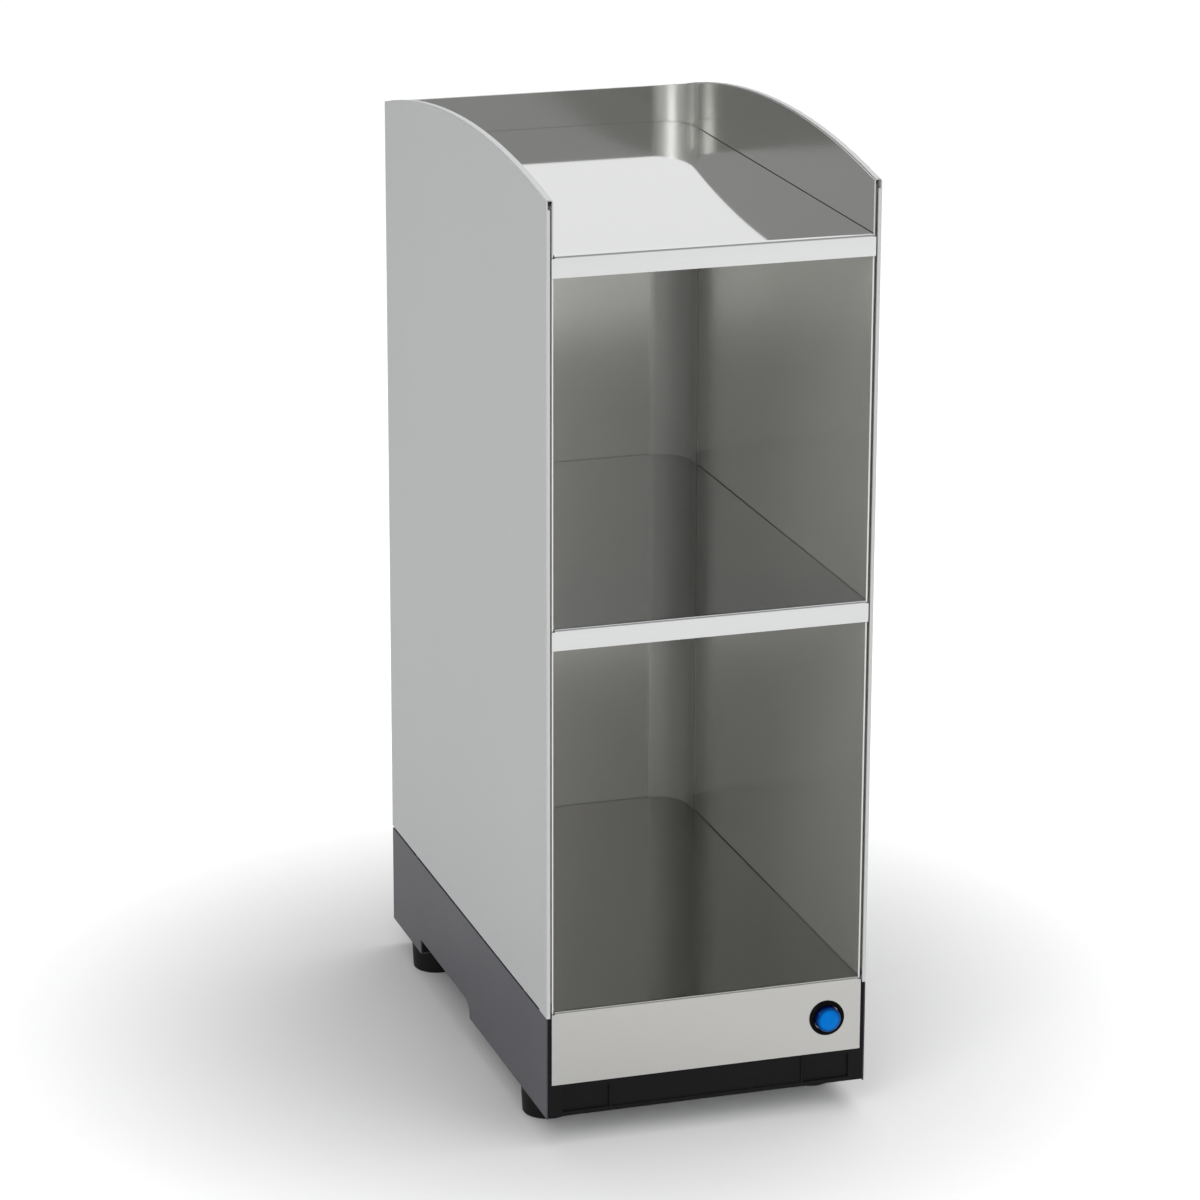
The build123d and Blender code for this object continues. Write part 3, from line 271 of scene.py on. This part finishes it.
def layered(name, group, settings, tone_mask, relief_mask, tone, roughness, depth, spread, uneven):
    """Starts a material whose tone, gloss and relief vary with the masks of an effect group."""
    material = bpy.data.materials.new(name)
    material.use_nodes = True
    tree = material.node_tree
    skin = tree.nodes["Principled BSDF"]
    masks = effect_node(tree, group, settings)
    darker = tuple(c * (1 - spread) for c in tone) + (1,)
    lighter = tuple(c * (1 + spread) for c in tone) + (1,)
    gloss_levels = (max(roughness - uneven, least_roughness), roughness + uneven)
    relief = shade_node(tree, "ShaderNodeBump", Distance=depth, Height=masks[relief_mask])
    feed(tree, skin.inputs["Base Color"], mix_node(tree, masks[tone_mask], darker, lighter, "RGBA"))
    feed(tree, skin.inputs["Roughness"], ramp_node(tree, masks["Patches"], levels=gloss_levels))
    feed(tree, skin.inputs["Normal"], relief.outputs["Normal"])
    return material, skin


def coated(name, tone, roughness, peel_scale, patch_scale, depth, spread=0.06, specular=0.5):
    """Paint, plastic or rubber: one tone with slow patches, a fine peel and uneven gloss."""
    material, skin = layered(
        name, peel, {"Scale": peel_scale, "Patch Scale": patch_scale}, "Patches", "Height",
        tone, roughness, depth, spread, coat_uneven,
    )
    skin.inputs["Specular IOR Level"].default_value = specular
    return material


def finish_node(node, material):
    """Gives a CAD node its better material."""
    mesh = nodes[node].data
    mesh.materials.clear()
    mesh.materials.append(material)


panel_coat = coated(
    "panel_coat", panel_tone, roughness=0.42,
    peel_scale=900, patch_scale=5.0, depth=0.00003, spread=0.02,
)
for node in ("left_side_panel", "right_side_panel", "rear_panel"):
    finish_node(node, panel_coat)


# Liner: one sheet of brushed stainless steel bent to a U, its rear corners rolled to a wide
# radius. Its top edge follows the arch of the side panels, a little below them. The metal is
# rougher below the tray and in the rolled corners, where the brush turns. Below the tray its tone
# is also lighter and it is partly matt, more so in the rolled corners: painted light that
# brightens the compartments.
liner_tone = (0.54, 0.54, 0.52)
liner_sheet = 0.001
liner_corner = 0.025
arch_radius = 0.970
edge_drop = 0.0006
corner_steps = 14
side_steps = 28
back_steps = 10
margin = 0.0004
merge_gap = 0.00001
front_strip = 0.0001
square_on = 0.9
crease_angle = math.radians(35)
below_tray_fade = 0.004
haze_roughness = 0.05
# painted light below the tray: share of the metal made matt there, and the lift of its tone
painted_light_matt = 0.3
painted_light_gain = 1.22
corner_roughness = 0.34
# painted light: the rolled corners below the tray are made more matt still
corner_painted_light_matt = 0.35
corner_across = (1.1, 0.75)
corner_behind = (1.6, 0.9)

grain, start, end = effect_group(
    "brushed_grain",
    [
        ("Stretch", "NodeSocketVector", (40.0, 40.0, 4000.0)),
        ("Patch Scale", "NodeSocketFloat", 9.0),
    ],
    [("Streaks", "NodeSocketFloat"), ("Patches", "NodeSocketFloat")],
)
spot = grain.nodes.new("ShaderNodeTexCoord").outputs["Object"]
drawn = shade_node(grain, "ShaderNodeMapping", Vector=spot, Scale=start["Stretch"])
feed(grain, end["Streaks"], noise(grain, drawn.outputs["Vector"], 1.0, detail=5.0, roughness=0.7))
feed(grain, end["Patches"], noise(grain, spot, start["Patch Scale"], detail=3.0, roughness=0.55))


def steel(name, tone, roughness, stretch, depth, spread=0.05, uneven=0.05):
    """Stainless steel: streaks of the grain in its tone, gloss and relief, with slow smudges."""
    material, skin = layered(
        name, grain, {"Stretch": stretch}, "Streaks", "Streaks",
        tone, roughness, depth, spread, uneven,
    )
    skin.inputs["Metallic"].default_value = 1.0
    return material


def finish_piece(name, shape, material, replaced, body="housing"):
    """Makes a finished bmesh an object that rides on a body and stands for CAD nodes."""
    mesh = bpy.data.meshes.new(name)
    shape.to_mesh(mesh)
    shape.free()
    mesh.materials.append(material)
    mesh.shade_smooth()
    mesh.set_sharp_from_angle(angle=crease_angle)
    piece = bpy.data.objects.new(name, mesh)
    scene.collection.objects.link(piece)
    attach(piece, body)
    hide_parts(*replaced)
    return piece


def draw_out(shape, edges, step, count=1):
    """Extrudes edges by a step, count times, and returns the last edges."""
    for _ in range(count):
        result = bmesh.ops.extrude_edge_only(shape, edges=edges)
        moved = [v for v in result["geom"] if isinstance(v, bmesh.types.BMVert)]
        bmesh.ops.translate(shape, verts=moved, vec=step)
        edges = [
            e for e in result["geom"]
            if isinstance(e, bmesh.types.BMEdge) and all(v in moved for v in e.verts)
        ]
    return edges


def roll_corner(shape, edges, centre, last_run):
    """Rolls edges a quarter turn round a vertical axis, and draws out a short straight end."""
    turned = bmesh.ops.spin(
        shape, geom=edges, cent=centre, axis=(0, 0, -1), angle=math.pi / 2, steps=corner_steps
    )
    last = [e for e in turned["geom_last"] if isinstance(e, bmesh.types.BMEdge)]
    return draw_out(shape, last, last_run)


liner_low, liner_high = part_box("inner_liner")
panel_low, panel_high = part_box("left_side_panel")
back_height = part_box("rear_panel")[1].z
panel_front = panel_low.y
panel_back = panel_high.y
panel_mesh = nodes["left_side_panel"].data
front_height = max(v.co.z for v in panel_mesh.vertices if v.co.y < panel_front + front_strip)
chord_y = panel_back - panel_front
chord_z = front_height - back_height
half_chord = math.hypot(chord_y, chord_z) / 2
slope = math.atan2(chord_z, chord_y)
centre_drop = math.sqrt(arch_radius**2 - half_chord**2)
arch_y = (panel_front + panel_back) / 2 - centre_drop * math.sin(slope)
arch_z = (front_height + back_height) / 2 - centre_drop * math.cos(slope)


def arch_height(y, inset):
    """Height of the arched top edge at depth y, for an edge set in by inset."""
    return arch_z + math.sqrt((arch_radius - inset) ** 2 - (y - arch_y) ** 2)


bay_half = liner_high.x - liner_sheet
bay_back = liner_high.y - liner_sheet
bay_front = liner_low.y
side_run = bay_back - liner_corner - bay_front
back_run = 2 * (bay_half - liner_corner)
side_step = (side_run - margin) / side_steps
back_step = (back_run - 2 * margin) / back_steps
rear_left = (-bay_half + liner_corner, bay_back - liner_corner, 0)
rear_right = (bay_half - liner_corner, bay_back - liner_corner, 0)
shape = bmesh.new()
foot_vertex = shape.verts.new((-bay_half, bay_front, liner_low.z))
head_vertex = shape.verts.new((-bay_half, bay_front, back_height))
wall_edge = [shape.edges.new((foot_vertex, head_vertex))]
wall_edge = draw_out(shape, wall_edge, (0, side_step, 0), side_steps)
wall_edge = draw_out(shape, wall_edge, (0, margin, 0))
wall_edge = roll_corner(shape, wall_edge, rear_left, (margin, 0, 0))
wall_edge = draw_out(shape, wall_edge, (back_step, 0, 0), back_steps)
wall_edge = draw_out(shape, wall_edge, (margin, 0, 0))
wall_edge = roll_corner(shape, wall_edge, rear_right, (0, -margin, 0))
draw_out(shape, wall_edge, (0, -side_step, 0), side_steps)
bmesh.ops.remove_doubles(shape, verts=shape.verts, dist=merge_gap)
for vertex in shape.verts:
    if vertex.co.z > liner_low.z + margin:
        vertex.co.z = arch_height(vertex.co.y, edge_drop)
bmesh.ops.recalc_face_normals(shape, faces=shape.faces)
left_face = next(
    f for f in shape.faces if abs(f.normal.x) > square_on and f.calc_center_median().x < 0
)
if left_face.normal.x < 0:
    bmesh.ops.reverse_faces(shape, faces=shape.faces)
bmesh.ops.solidify(shape, geom=shape.faces[:], thickness=liner_sheet)
bmesh.ops.recalc_face_normals(shape, faces=shape.faces)

liner_steel = steel(
    "liner_steel", liner_tone, roughness=0.14, stretch=(30.0, 30.0, 3500.0), depth=0.000004
)
tray_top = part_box("top_tray")[1].z
tree = liner_steel.node_tree
skin = tree.nodes["Principled BSDF"]
spot = tree.nodes.new("ShaderNodeTexCoord").outputs["Object"]
where = shade_node(tree, "ShaderNodeSeparateXYZ", Vector=spot).outputs
below_tray = ramp_node(tree, where["Z"], (tray_top - below_tray_fade, tray_top), (1, 0))
across = ramp_node(
    tree, sum_node(tree, "ABSOLUTE", where["X"]),
    [bay_half - share * liner_corner for share in corner_across], eased=True,
)
behind = ramp_node(
    tree, where["Y"], [bay_back - share * liner_corner for share in corner_behind], eased=True
)
in_corner = sum_node(tree, "MULTIPLY", across, behind)
gloss = skin.inputs["Roughness"].links[0].from_socket
hazed = sum_node(tree, "MULTIPLY_ADD", below_tray, haze_roughness, gloss)
feed(tree, skin.inputs["Roughness"], sum_node(
    tree, "MULTIPLY_ADD", in_corner, corner_roughness, hazed
))
# Painted light: below the tray the metal is made partly matt, more so in the rolled corners.
painted_light_metallic = ramp_node(tree, in_corner, levels=(1 - painted_light_matt, 1 - painted_light_matt - corner_painted_light_matt))
feed(tree, skin.inputs["Metallic"], ramp_node(tree, below_tray, levels=(1, painted_light_metallic)))
# Painted light: below the tray the liner's tone is scaled lighter.
painted_lightening = tree.nodes.new("ShaderNodeVectorMath")
painted_lightening.operation = "SCALE"
feed(tree, painted_lightening.inputs[0], skin.inputs["Base Color"].links[0].from_socket)
feed(tree, painted_lightening.inputs["Scale"], ramp_node(tree, below_tray, levels=(1, painted_light_gain)))
feed(tree, skin.inputs["Base Color"], painted_lightening.outputs["Vector"])
finish_piece("liner_shell", shape, liner_steel, ["inner_liner"])


# Shelves: stainless sheet, polished bright, folded down on all sides and screwed to the liner.
# The front fold is deeper and laps over the liner's edges; the lowest one is the control fascia.
shelf_sheet = 0.001
shelf_gap = 0.0006
shelf_corner = liner_corner - shelf_gap
pan_half = bay_half - shelf_gap
front_bend = 0.002
front_bend_share = 0.9
front_bend_steps = 6
edge_bend = 0.0024
edge_bend_steps = 4
flange_depth = 0.013
flange_setback = 0.003
hem_return = 0.008
relief_radius = 0.0012
relief_steps = 6
long_edge = 0.1
lip_foot = 0.0001
fold_angle = 1
large_face = 0.0002

shelf_steel = steel(
    "shelf_steel", (0.655, 0.66, 0.66), roughness=0.04,
    stretch=(40.0, 2500.0, 2500.0), depth=0.0000005, uneven=0.015,
)
# The fascia is brushed rougher, and its tone is darker than the shelves': painted shade.
fascia_steel = steel(
    "fascia_steel", (0.52, 0.515, 0.50), roughness=0.16,
    stretch=(40.0, 2500.0, 2500.0), depth=0.000003, uneven=0.03,
)


def arc_points(centre, radius, first, last, count):
    """Points on an arc in a plane, angles in degrees."""
    angles = [math.radians(first + (last - first) * step / count) for step in range(count + 1)]
    return [(centre[0] + radius * math.cos(a), centre[1] + radius * math.sin(a)) for a in angles]


def shelf_outline(half, front, back):
    """Plan of a shelf, anticlockwise from the front left, with a relief before each corner."""
    corner_x = half - shelf_corner
    corner_y = back - shelf_corner
    relief_turn = math.degrees(relief_radius / shelf_corner)
    right_relief = arc_points((half, corner_y), relief_radius, 270, 90, relief_steps)
    right = arc_points((corner_x, corner_y), shelf_corner, relief_turn, 90, corner_steps)
    left = arc_points((-corner_x, corner_y), shelf_corner, 90, 180 - relief_turn, corner_steps)
    left_relief = arc_points((-half, corner_y), relief_radius, 90, -90, relief_steps)
    front_right = [(half, front), (half, front + flange_setback)]
    front_left = [(-half, front + flange_setback), (-half, front)]
    return front_right + right_relief[:-1] + right + left + left_relief[1:] + front_left


def runs_along(edge, axis, place):
    """True if both ends of an edge lie at a place on an axis."""
    return all(abs(v.co[axis] - place) < merge_gap for v in edge.verts)


def at_side(edge):
    """True if an edge lies in the plane of a shelf's left or right flange."""
    return runs_along(edge, 0, pan_half) or runs_along(edge, 0, -pan_half)


def round_edges(shape, edges, radius, steps, clamp=False):
    """Bevels edges to a round."""
    bmesh.ops.bevel(
        shape, geom=edges, offset=radius, segments=steps, profile=0.5,
        affect="EDGES", material=-1, clamp_overlap=clamp,
    )


def keep_flats_flat(shape, smallest):
    """Gives each large flat face a thin margin, so a bend's shading stays in the bend."""
    large = [face for face in shape.faces if face.calc_area() > smallest]
    bmesh.ops.inset_individual(shape, faces=large, thickness=margin, use_even_offset=True)


for name in ("bottom_shelf", "middle_shelf", "top_tray"):
    low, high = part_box(name)
    top = high.z
    front = low.y
    lip_overhang = high.x - pan_half
    shape = bmesh.new()
    shape.faces.new(
        [shape.verts.new((x, y, top)) for x, y in shelf_outline(pan_half, front, high.y)]
    )
    rim = shape.edges[:]
    side_edges = [e for e in rim if at_side(e) and e.calc_length() > long_edge]
    rear_edges = [e for e in rim if runs_along(e, 1, high.y)]
    front_edges = [e for e in rim if runs_along(e, 1, front)]
    for flange_edges in (side_edges, rear_edges):
        draw_out(shape, flange_edges, (0, 0, -flange_depth))
    bend_edges = draw_out(shape, front_edges, (0, 0, -front_bend))
    lip_edges = draw_out(shape, bend_edges, (0, 0, -(top - low.z - front_bend)))
    shape.edges.ensure_lookup_table()
    lip_sides = [
        e for e in shape.edges
        if runs_along(e, 1, front) and at_side(e)
        and min(v.co.z for v in e.verts) < low.z + lip_foot
    ]
    for edge in lip_sides:
        outward = math.copysign(lip_overhang, edge.verts[0].co.x)
        draw_out(shape, [edge], (outward, 0, 0))
    draw_out(shape, lip_edges, (0, hem_return, 0))
    bmesh.ops.remove_doubles(shape, verts=shape.verts, dist=merge_gap)
    shape.normal_update()
    folds = [
        e for e in shape.edges
        if len(e.link_faces) == 2 and e.calc_face_angle() > fold_angle
    ]
    front_folds = [e for e in folds if runs_along(e, 1, front) and runs_along(e, 2, top)]
    hem_folds = [e for e in folds if runs_along(e, 2, low.z)]
    other_folds = [e for e in folds if e not in front_folds and e not in hem_folds]
    round_edges(shape, front_folds, front_bend * front_bend_share, front_bend_steps, clamp=True)
    other_folds = [e for e in other_folds if e.is_valid]
    round_edges(shape, other_folds, edge_bend, edge_bend_steps, clamp=True)
    bmesh.ops.recalc_face_normals(shape, faces=shape.faces)
    table = max(shape.faces, key=lambda face: face.calc_area())
    if table.normal.z < 0:
        bmesh.ops.reverse_faces(shape, faces=shape.faces)
    bmesh.ops.solidify(shape, geom=shape.faces[:], thickness=shelf_sheet)
    bmesh.ops.recalc_face_normals(shape, faces=shape.faces)
    keep_flats_flat(shape, large_face)
    surface = fascia_steel if name == "bottom_shelf" else shelf_steel
    finish_piece(f"{name}_sheet", shape, surface, [name])


# Skirts of the base: anthracite powder-coated sheet with a hand recess in each long side. Their
# outer folds are softened as a brake press leaves them, and their flats stay flat.
skirt_tone = (0.044, 0.0425, 0.0535)
skirt_edge = 0.0006
skirt_edge_steps = 3
shortest_edge = 0.015
flat_turn = math.radians(1)
curved_face = 0.00002
cad_merge = 0.000001

skirt_coat = coated(
    "skirt_coat", skirt_tone, roughness=0.42,
    peel_scale=1100, patch_scale=6.0, depth=0.00003, specular=0.3,
)


def merged_copy(node):
    """A bmesh of a CAD node's mesh, its loose triangles joined."""
    copy = bmesh.new()
    copy.from_mesh(nodes[node].data)
    bmesh.ops.remove_doubles(copy, verts=copy.verts, dist=cad_merge)
    return copy


for node in ("left_skirt", "right_skirt"):
    shape = merged_copy(node)
    bmesh.ops.dissolve_limit(
        shape, angle_limit=flat_turn, verts=shape.verts, edges=shape.edges
    )
    corners = [
        e for e in shape.edges
        if e.calc_length() > shortest_edge
        and len(e.link_faces) == 2 and e.calc_face_angle() > fold_angle
    ]
    round_edges(shape, corners, skirt_edge, skirt_edge_steps)
    bmesh.ops.triangulate(shape, faces=[f for f in shape.faces if len(f.verts) > 4])
    cover = finish_piece(f"{node}_cover", shape, skirt_coat, [node])
    for polygon in cover.data.polygons:
        polygon.use_smooth = polygon.area < curved_face
finish_node("rear_skirt", skirt_coat)


# Base frame, plate and covers: a black moulded frame with a fine grain, closed below by a plate
# of zinc-plated steel. The covers under the shelves, their screws and the washers match it.
frame_plastic = coated(
    "frame_plastic", (0.005, 0.005, 0.0055), roughness=0.5,
    peel_scale=1500, patch_scale=20.0, depth=0.00006, specular=0.1,
)
finish_node("base_frame", frame_plastic)
zinc = steel(
    "zinc_plate", (0.55, 0.56, 0.57), roughness=0.38,
    stretch=(120.0, 120.0, 120.0), depth=0.000003, spread=0.12,
)
for node in (
    "base_plate", "lower_under_cover", "middle_under_cover", "top_under_cover",
    "shelf_screws", "foot_washers",
):
    finish_node(node, zinc)


# Screws: zinc-plated pan heads with a six-lobe recess, driven into the rear panel, the base,
# the feet and the inlet. Heads are domed and the shanks are plain, as the threads are hidden.
head_steps = 24
dome_share = 0.45
dome_steps = 4
recess_inset = 0.45
recess_depth = 0.55
lobes = 6
lobe_depth = 0.1
# outward direction, height of the head, radius of the shank
screw_sets = {
    "rear_panel_screws": (Vector((0, 1, 0)), 0.0016, 0.0015),
    "base_screws": (Vector((0, 0, -1)), 0.0016, 0.0015),
    "inlet_screws": (Vector((0, 1, 0)), 0.0016, 0.0015),
    "foot_screws": (Vector((0, 0, -1)), 0.0018, 0.002),
}

screw_zinc = steel(
    "screw_zinc", (0.62, 0.63, 0.64), roughness=0.28,
    stretch=(400.0, 400.0, 400.0), depth=0.000002, spread=0.15,
)


def add_screw(shape, seat, outward, head_radius, head_height, shank_radius, shank_length):
    """Adds one screw: its head stands on the seat, outward, and its shank goes the other way."""
    turn = Vector((0, 0, 1)).rotation_difference(outward).to_matrix().to_4x4()
    stand = Matrix.Translation(seat) @ turn
    head = bmesh.ops.create_cone(
        shape, cap_ends=True, segments=head_steps, radius1=head_radius, radius2=head_radius,
        depth=head_height, matrix=stand @ Matrix.Translation((0, 0, head_height / 2)),
    )["verts"]
    crown = [v for v in head if (v.co - seat).dot(outward) > head_height / 2]
    rim = [e for v in crown for e in v.link_edges if all(end in crown for end in e.verts)]
    top = next(f for f in crown[0].link_faces if all(v in crown for v in f.verts))
    bmesh.ops.inset_region(shape, faces=[top], thickness=head_radius * recess_inset)
    middle = seat + outward * head_height
    for number, vertex in enumerate(top.verts):
        lobe = 1 + lobe_depth * math.cos(number * math.tau * lobes / head_steps)
        vertex.co = middle + (vertex.co - middle) * lobe
    sunk = bmesh.ops.extrude_discrete_faces(shape, faces=[top])["faces"][0]
    bmesh.ops.translate(shape, verts=sunk.verts, vec=-outward * head_height * recess_depth)
    round_edges(shape, list(dict.fromkeys(rim)), head_height * dome_share, dome_steps)
    bmesh.ops.create_cone(
        shape, cap_ends=True, segments=head_steps, radius1=shank_radius, radius2=shank_radius,
        depth=shank_length, matrix=stand @ Matrix.Translation((0, 0, -shank_length / 2)),
    )


def separate_spans(node):
    """Lowest and highest corner of each separate solid of a CAD node."""
    copy = merged_copy(node)
    met = set()
    spans = []
    for first in copy.verts:
        if first in met:
            continue
        met.add(first)
        group = [first]
        for vertex in group:
            for edge in vertex.link_edges:
                near = edge.other_vert(vertex)
                if near not in met:
                    met.add(near)
                    group.append(near)
        spans.append(tuple(
            Vector([limit(v.co[axis] for v in group) for axis in range(3)])
            for limit in (min, max)
        ))
    copy.free()
    return spans


for node, (outward, head_height, shank_radius) in screw_sets.items():
    shape = bmesh.new()
    for low, high in separate_spans(node):
        extent = high - low
        axis = max(range(3), key=lambda number: abs(outward[number]))
        head_radius = (sum(extent) - extent[axis]) / 4
        tip = (high if outward[axis] > 0 else low)[axis]
        seat = (low + high) / 2
        seat[axis] = tip - outward[axis] * head_height
        shank_length = extent[axis] - head_height
        add_screw(shape, seat, outward, head_radius, head_height, shank_radius, shank_length)
    bmesh.ops.recalc_face_normals(shape, faces=shape.faces)
    finish_piece(f"{node}_set", shape, screw_zinc, [node])


# Feet: four moulded black rubber feet with a matt skin, each held to a boss of the base frame
# by a screw through its middle.
foot_rubber = coated(
    "foot_rubber", (0.004, 0.004, 0.0045), roughness=0.6,
    peel_scale=1800, patch_scale=30.0, depth=0.00005, specular=0.15,
)
for corner in ("front_left", "front_right", "rear_left", "rear_right"):
    finish_node(f"foot_{corner}", foot_rubber)


# Switch bezel: a ring turned from black plastic, snapped into the fascia, with a threaded
# barrel behind it for the nut. The switch body and the mains inlet are of the same plastic.
turn_steps = 72
cap_gap = 0.0003
edge_round = 0.0012
edge_round_steps = 6
lead_in = 0.0008
lead_in_steps = 4
barrel_radius = 0.011
thread_depth = 0.0004
thread_pitch = 0.0016
lathe_merge = 0.000002
lathe_sliver = 0.000001

switch_plastic = coated(
    "switch_plastic", (0.001, 0.001, 0.001), roughness=0.26,
    peel_scale=900, patch_scale=30.0, depth=0.00001, specular=0.05,
)


def lathe(profile, centre):
    """Turns a closed profile of (radius, depth) points round the switch's axis."""
    shape = bmesh.new()
    points = [shape.verts.new((centre.x + radius, depth, centre.z)) for radius, depth in profile]
    edges = [shape.edges.new(pair) for pair in zip(points, points[1:] + points[:1])]
    bmesh.ops.spin(
        shape, geom=points + edges, cent=(centre.x, 0, centre.z), axis=(0, 1, 0),
        angle=math.tau, steps=turn_steps, use_merge=True,
    )
    bmesh.ops.remove_doubles(shape, verts=shape.verts, dist=lathe_merge)
    bmesh.ops.dissolve_degenerate(shape, edges=shape.edges, dist=lathe_sliver)
    bmesh.ops.recalc_face_normals(shape, faces=shape.faces)
    return shape


bezel_low, bezel_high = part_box("switch_bezel")
cap_low, cap_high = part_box("power_button")
switch_axis = (cap_low + cap_high) / 2
bezel_radius = bezel_high.x - switch_axis.x
cap_radius = cap_high.x - switch_axis.x
bore = cap_radius + cap_gap
fascia_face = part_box("bottom_shelf")[0].y
front = bezel_low.y
round_centre = (bezel_radius - edge_round, front + edge_round)
lead_centre = (bore + lead_in, front + lead_in)
profile = [(bezel_radius, fascia_face)]
profile += arc_points(round_centre, edge_round, 0, -90, edge_round_steps)
profile += arc_points(lead_centre, lead_in, -90, -180, lead_in_steps)
profile += [(bore, bezel_high.y), (barrel_radius, bezel_high.y)]
groove = bezel_high.y - thread_pitch
while groove > fascia_face + 2 * thread_pitch:
    profile += [
        (barrel_radius, groove), (barrel_radius - thread_depth, groove - thread_pitch / 2)
    ]
    groove -= thread_pitch
profile += [(barrel_radius, fascia_face + thread_pitch), (barrel_radius, fascia_face)]
shape = lathe(profile, switch_axis)
finish_piece("bezel_ring", shape, switch_plastic, ["switch_bezel"])
for node in ("switch_nut", "switch_body", "mains_inlet"):
    finish_node(node, switch_plastic)


# Push-button: a crowned cap of clear blue plastic on a stem, sliding in the bezel. Its face has a
# painted glow, which fades to painted shade towards its rim and down its side.
stem_radius = 0.003
cap_length = 0.014
cap_round = 0.0018
cap_round_start = -84
cap_crown = 0.0007
cap_steps = 6
lens_tone = (0.0, 0.004, 0.03, 1)
lens_sheen = (0.05, 0.35, 1.0, 1)
# painted glow of the face, from its faded to its full tone
painted_glow_faded_tone = (0.0, 0.0, 0.02, 1)
painted_glow_tone = (0.0, 0.15, 0.53, 1)
rim_span = (0.62, 0.98)
rim_levels = (1.0, 0.12)
side_span = (0.0005, 0.0026)
side_levels = (1.0, 0.08)
cloud_span = (0.3, 0.7)
cloud_levels = (0.85, 1.1)
lens_gloss = (0.12, 0.2)

front = cap_low.y
crown_half = cap_radius - cap_round
crown_radius = (crown_half**2 + cap_crown**2) / (2 * cap_crown)
round_centre = (crown_half, front + cap_crown + cap_round)
profile = [(0.0, front)]
for step in range(1, cap_steps + 1):
    out = crown_half * step / cap_steps
    profile.append((out, front + crown_radius - math.sqrt(crown_radius**2 - out**2)))
profile += arc_points(round_centre, cap_round, cap_round_start, 0, cap_steps)
profile += [
    (cap_radius, front + cap_length),
    (stem_radius, front + cap_length),
    (stem_radius, cap_high.y),
    (0.0, cap_high.y),
]
shape = lathe(profile, switch_axis)

lens = bpy.data.materials.new("lens")
lens.use_nodes = True
tree = lens.node_tree
skin = tree.nodes["Principled BSDF"]
skin.inputs["Base Color"].default_value = lens_tone
skin.inputs["Specular Tint"].default_value = lens_sheen
skin.inputs["Emission Strength"].default_value = 1.0
spot = tree.nodes.new("ShaderNodeTexCoord").outputs["Object"]
face_centre = (switch_axis.x, front, switch_axis.z)
from_centre = sum_node(
    tree, "SUBTRACT", spot, face_centre, kind="ShaderNodeVectorMath", result="Vector"
)
in_face = sum_node(
    tree, "MULTIPLY", from_centre, (1, 0, 1), kind="ShaderNodeVectorMath", result="Vector"
)
radius = sum_node(tree, "LENGTH", in_face, kind="ShaderNodeVectorMath")
behind_face = shade_node(tree, "ShaderNodeSeparateXYZ", Vector=from_centre).outputs["Y"]
# The glow fades towards the rim and down the side: painted shade.
painted_rim_fade = ramp_node(
    tree, radius, [share * cap_radius for share in rim_span], rim_levels, eased=True
)
painted_side_fade = ramp_node(tree, behind_face, side_span, side_levels, eased=True)
masks = effect_node(tree, peel, {"Scale": 700, "Patch Scale": 160})
cloud = ramp_node(tree, masks["Patches"], cloud_span, cloud_levels)
# Painted glow of the face, faded by the painted shade at rim and side and varied at random.
painted_glow = sum_node(tree, "MULTIPLY", sum_node(tree, "MULTIPLY", painted_rim_fade, painted_side_fade), cloud)
feed(tree, skin.inputs["Emission Color"], mix_node(tree, painted_glow, painted_glow_faded_tone, painted_glow_tone, "RGBA"))
feed(tree, skin.inputs["Roughness"], ramp_node(tree, masks["Patches"], levels=lens_gloss))
finish_piece("button_cap", shape, lens, ["power_button"], body="button")


# Pieces inside the walls and under the shelves: silicone heater mats with felt over them,
# ceramic thermostats, fuses and terminal block, sleeved leads, and brass contacts and screws.
mat_rubber = coated(
    "mat_rubber", (0.38, 0.06, 0.02), roughness=0.55,
    peel_scale=1200, patch_scale=12.0, depth=0.00008,
)
felt = coated(
    "felt", (0.75, 0.72, 0.64), roughness=0.95,
    peel_scale=2500, patch_scale=60.0, depth=0.0006, spread=0.12, specular=0.1,
)
ceramic = coated(
    "ceramic", (0.72, 0.69, 0.62), roughness=0.3,
    peel_scale=600, patch_scale=40.0, depth=0.00002,
)
sleeve = coated(
    "sleeve", (0.45, 0.42, 0.34), roughness=0.5,
    peel_scale=900, patch_scale=40.0, depth=0.00003,
)
brass = steel(
    "brass_parts", (0.72, 0.52, 0.24), roughness=0.3,
    stretch=(200.0, 200.0, 200.0), depth=0.000004,
)
for shelf_name in ("lower", "middle", "top"):
    finish_node(f"{shelf_name}_heater_mat", mat_rubber)
    finish_node(f"{shelf_name}_insulation_pad", felt)
    finish_node(f"{shelf_name}_thermostat", ceramic)
    finish_node(f"{shelf_name}_thermal_fuse", ceramic)
    finish_node(f"{shelf_name}_heater_leads", sleeve)
for node in ("left_wall_insulation", "right_wall_insulation", "rear_wall_insulation"):
    finish_node(node, felt)
finish_node("terminal_block", ceramic)
for node in ("switch_leads", "inlet_leads", "earth_lead"):
    finish_node(node, sleeve)
for node in ("terminal_screws", "earth_stud", "switch_terminals", "inlet_contacts"):
    finish_node(node, brass)
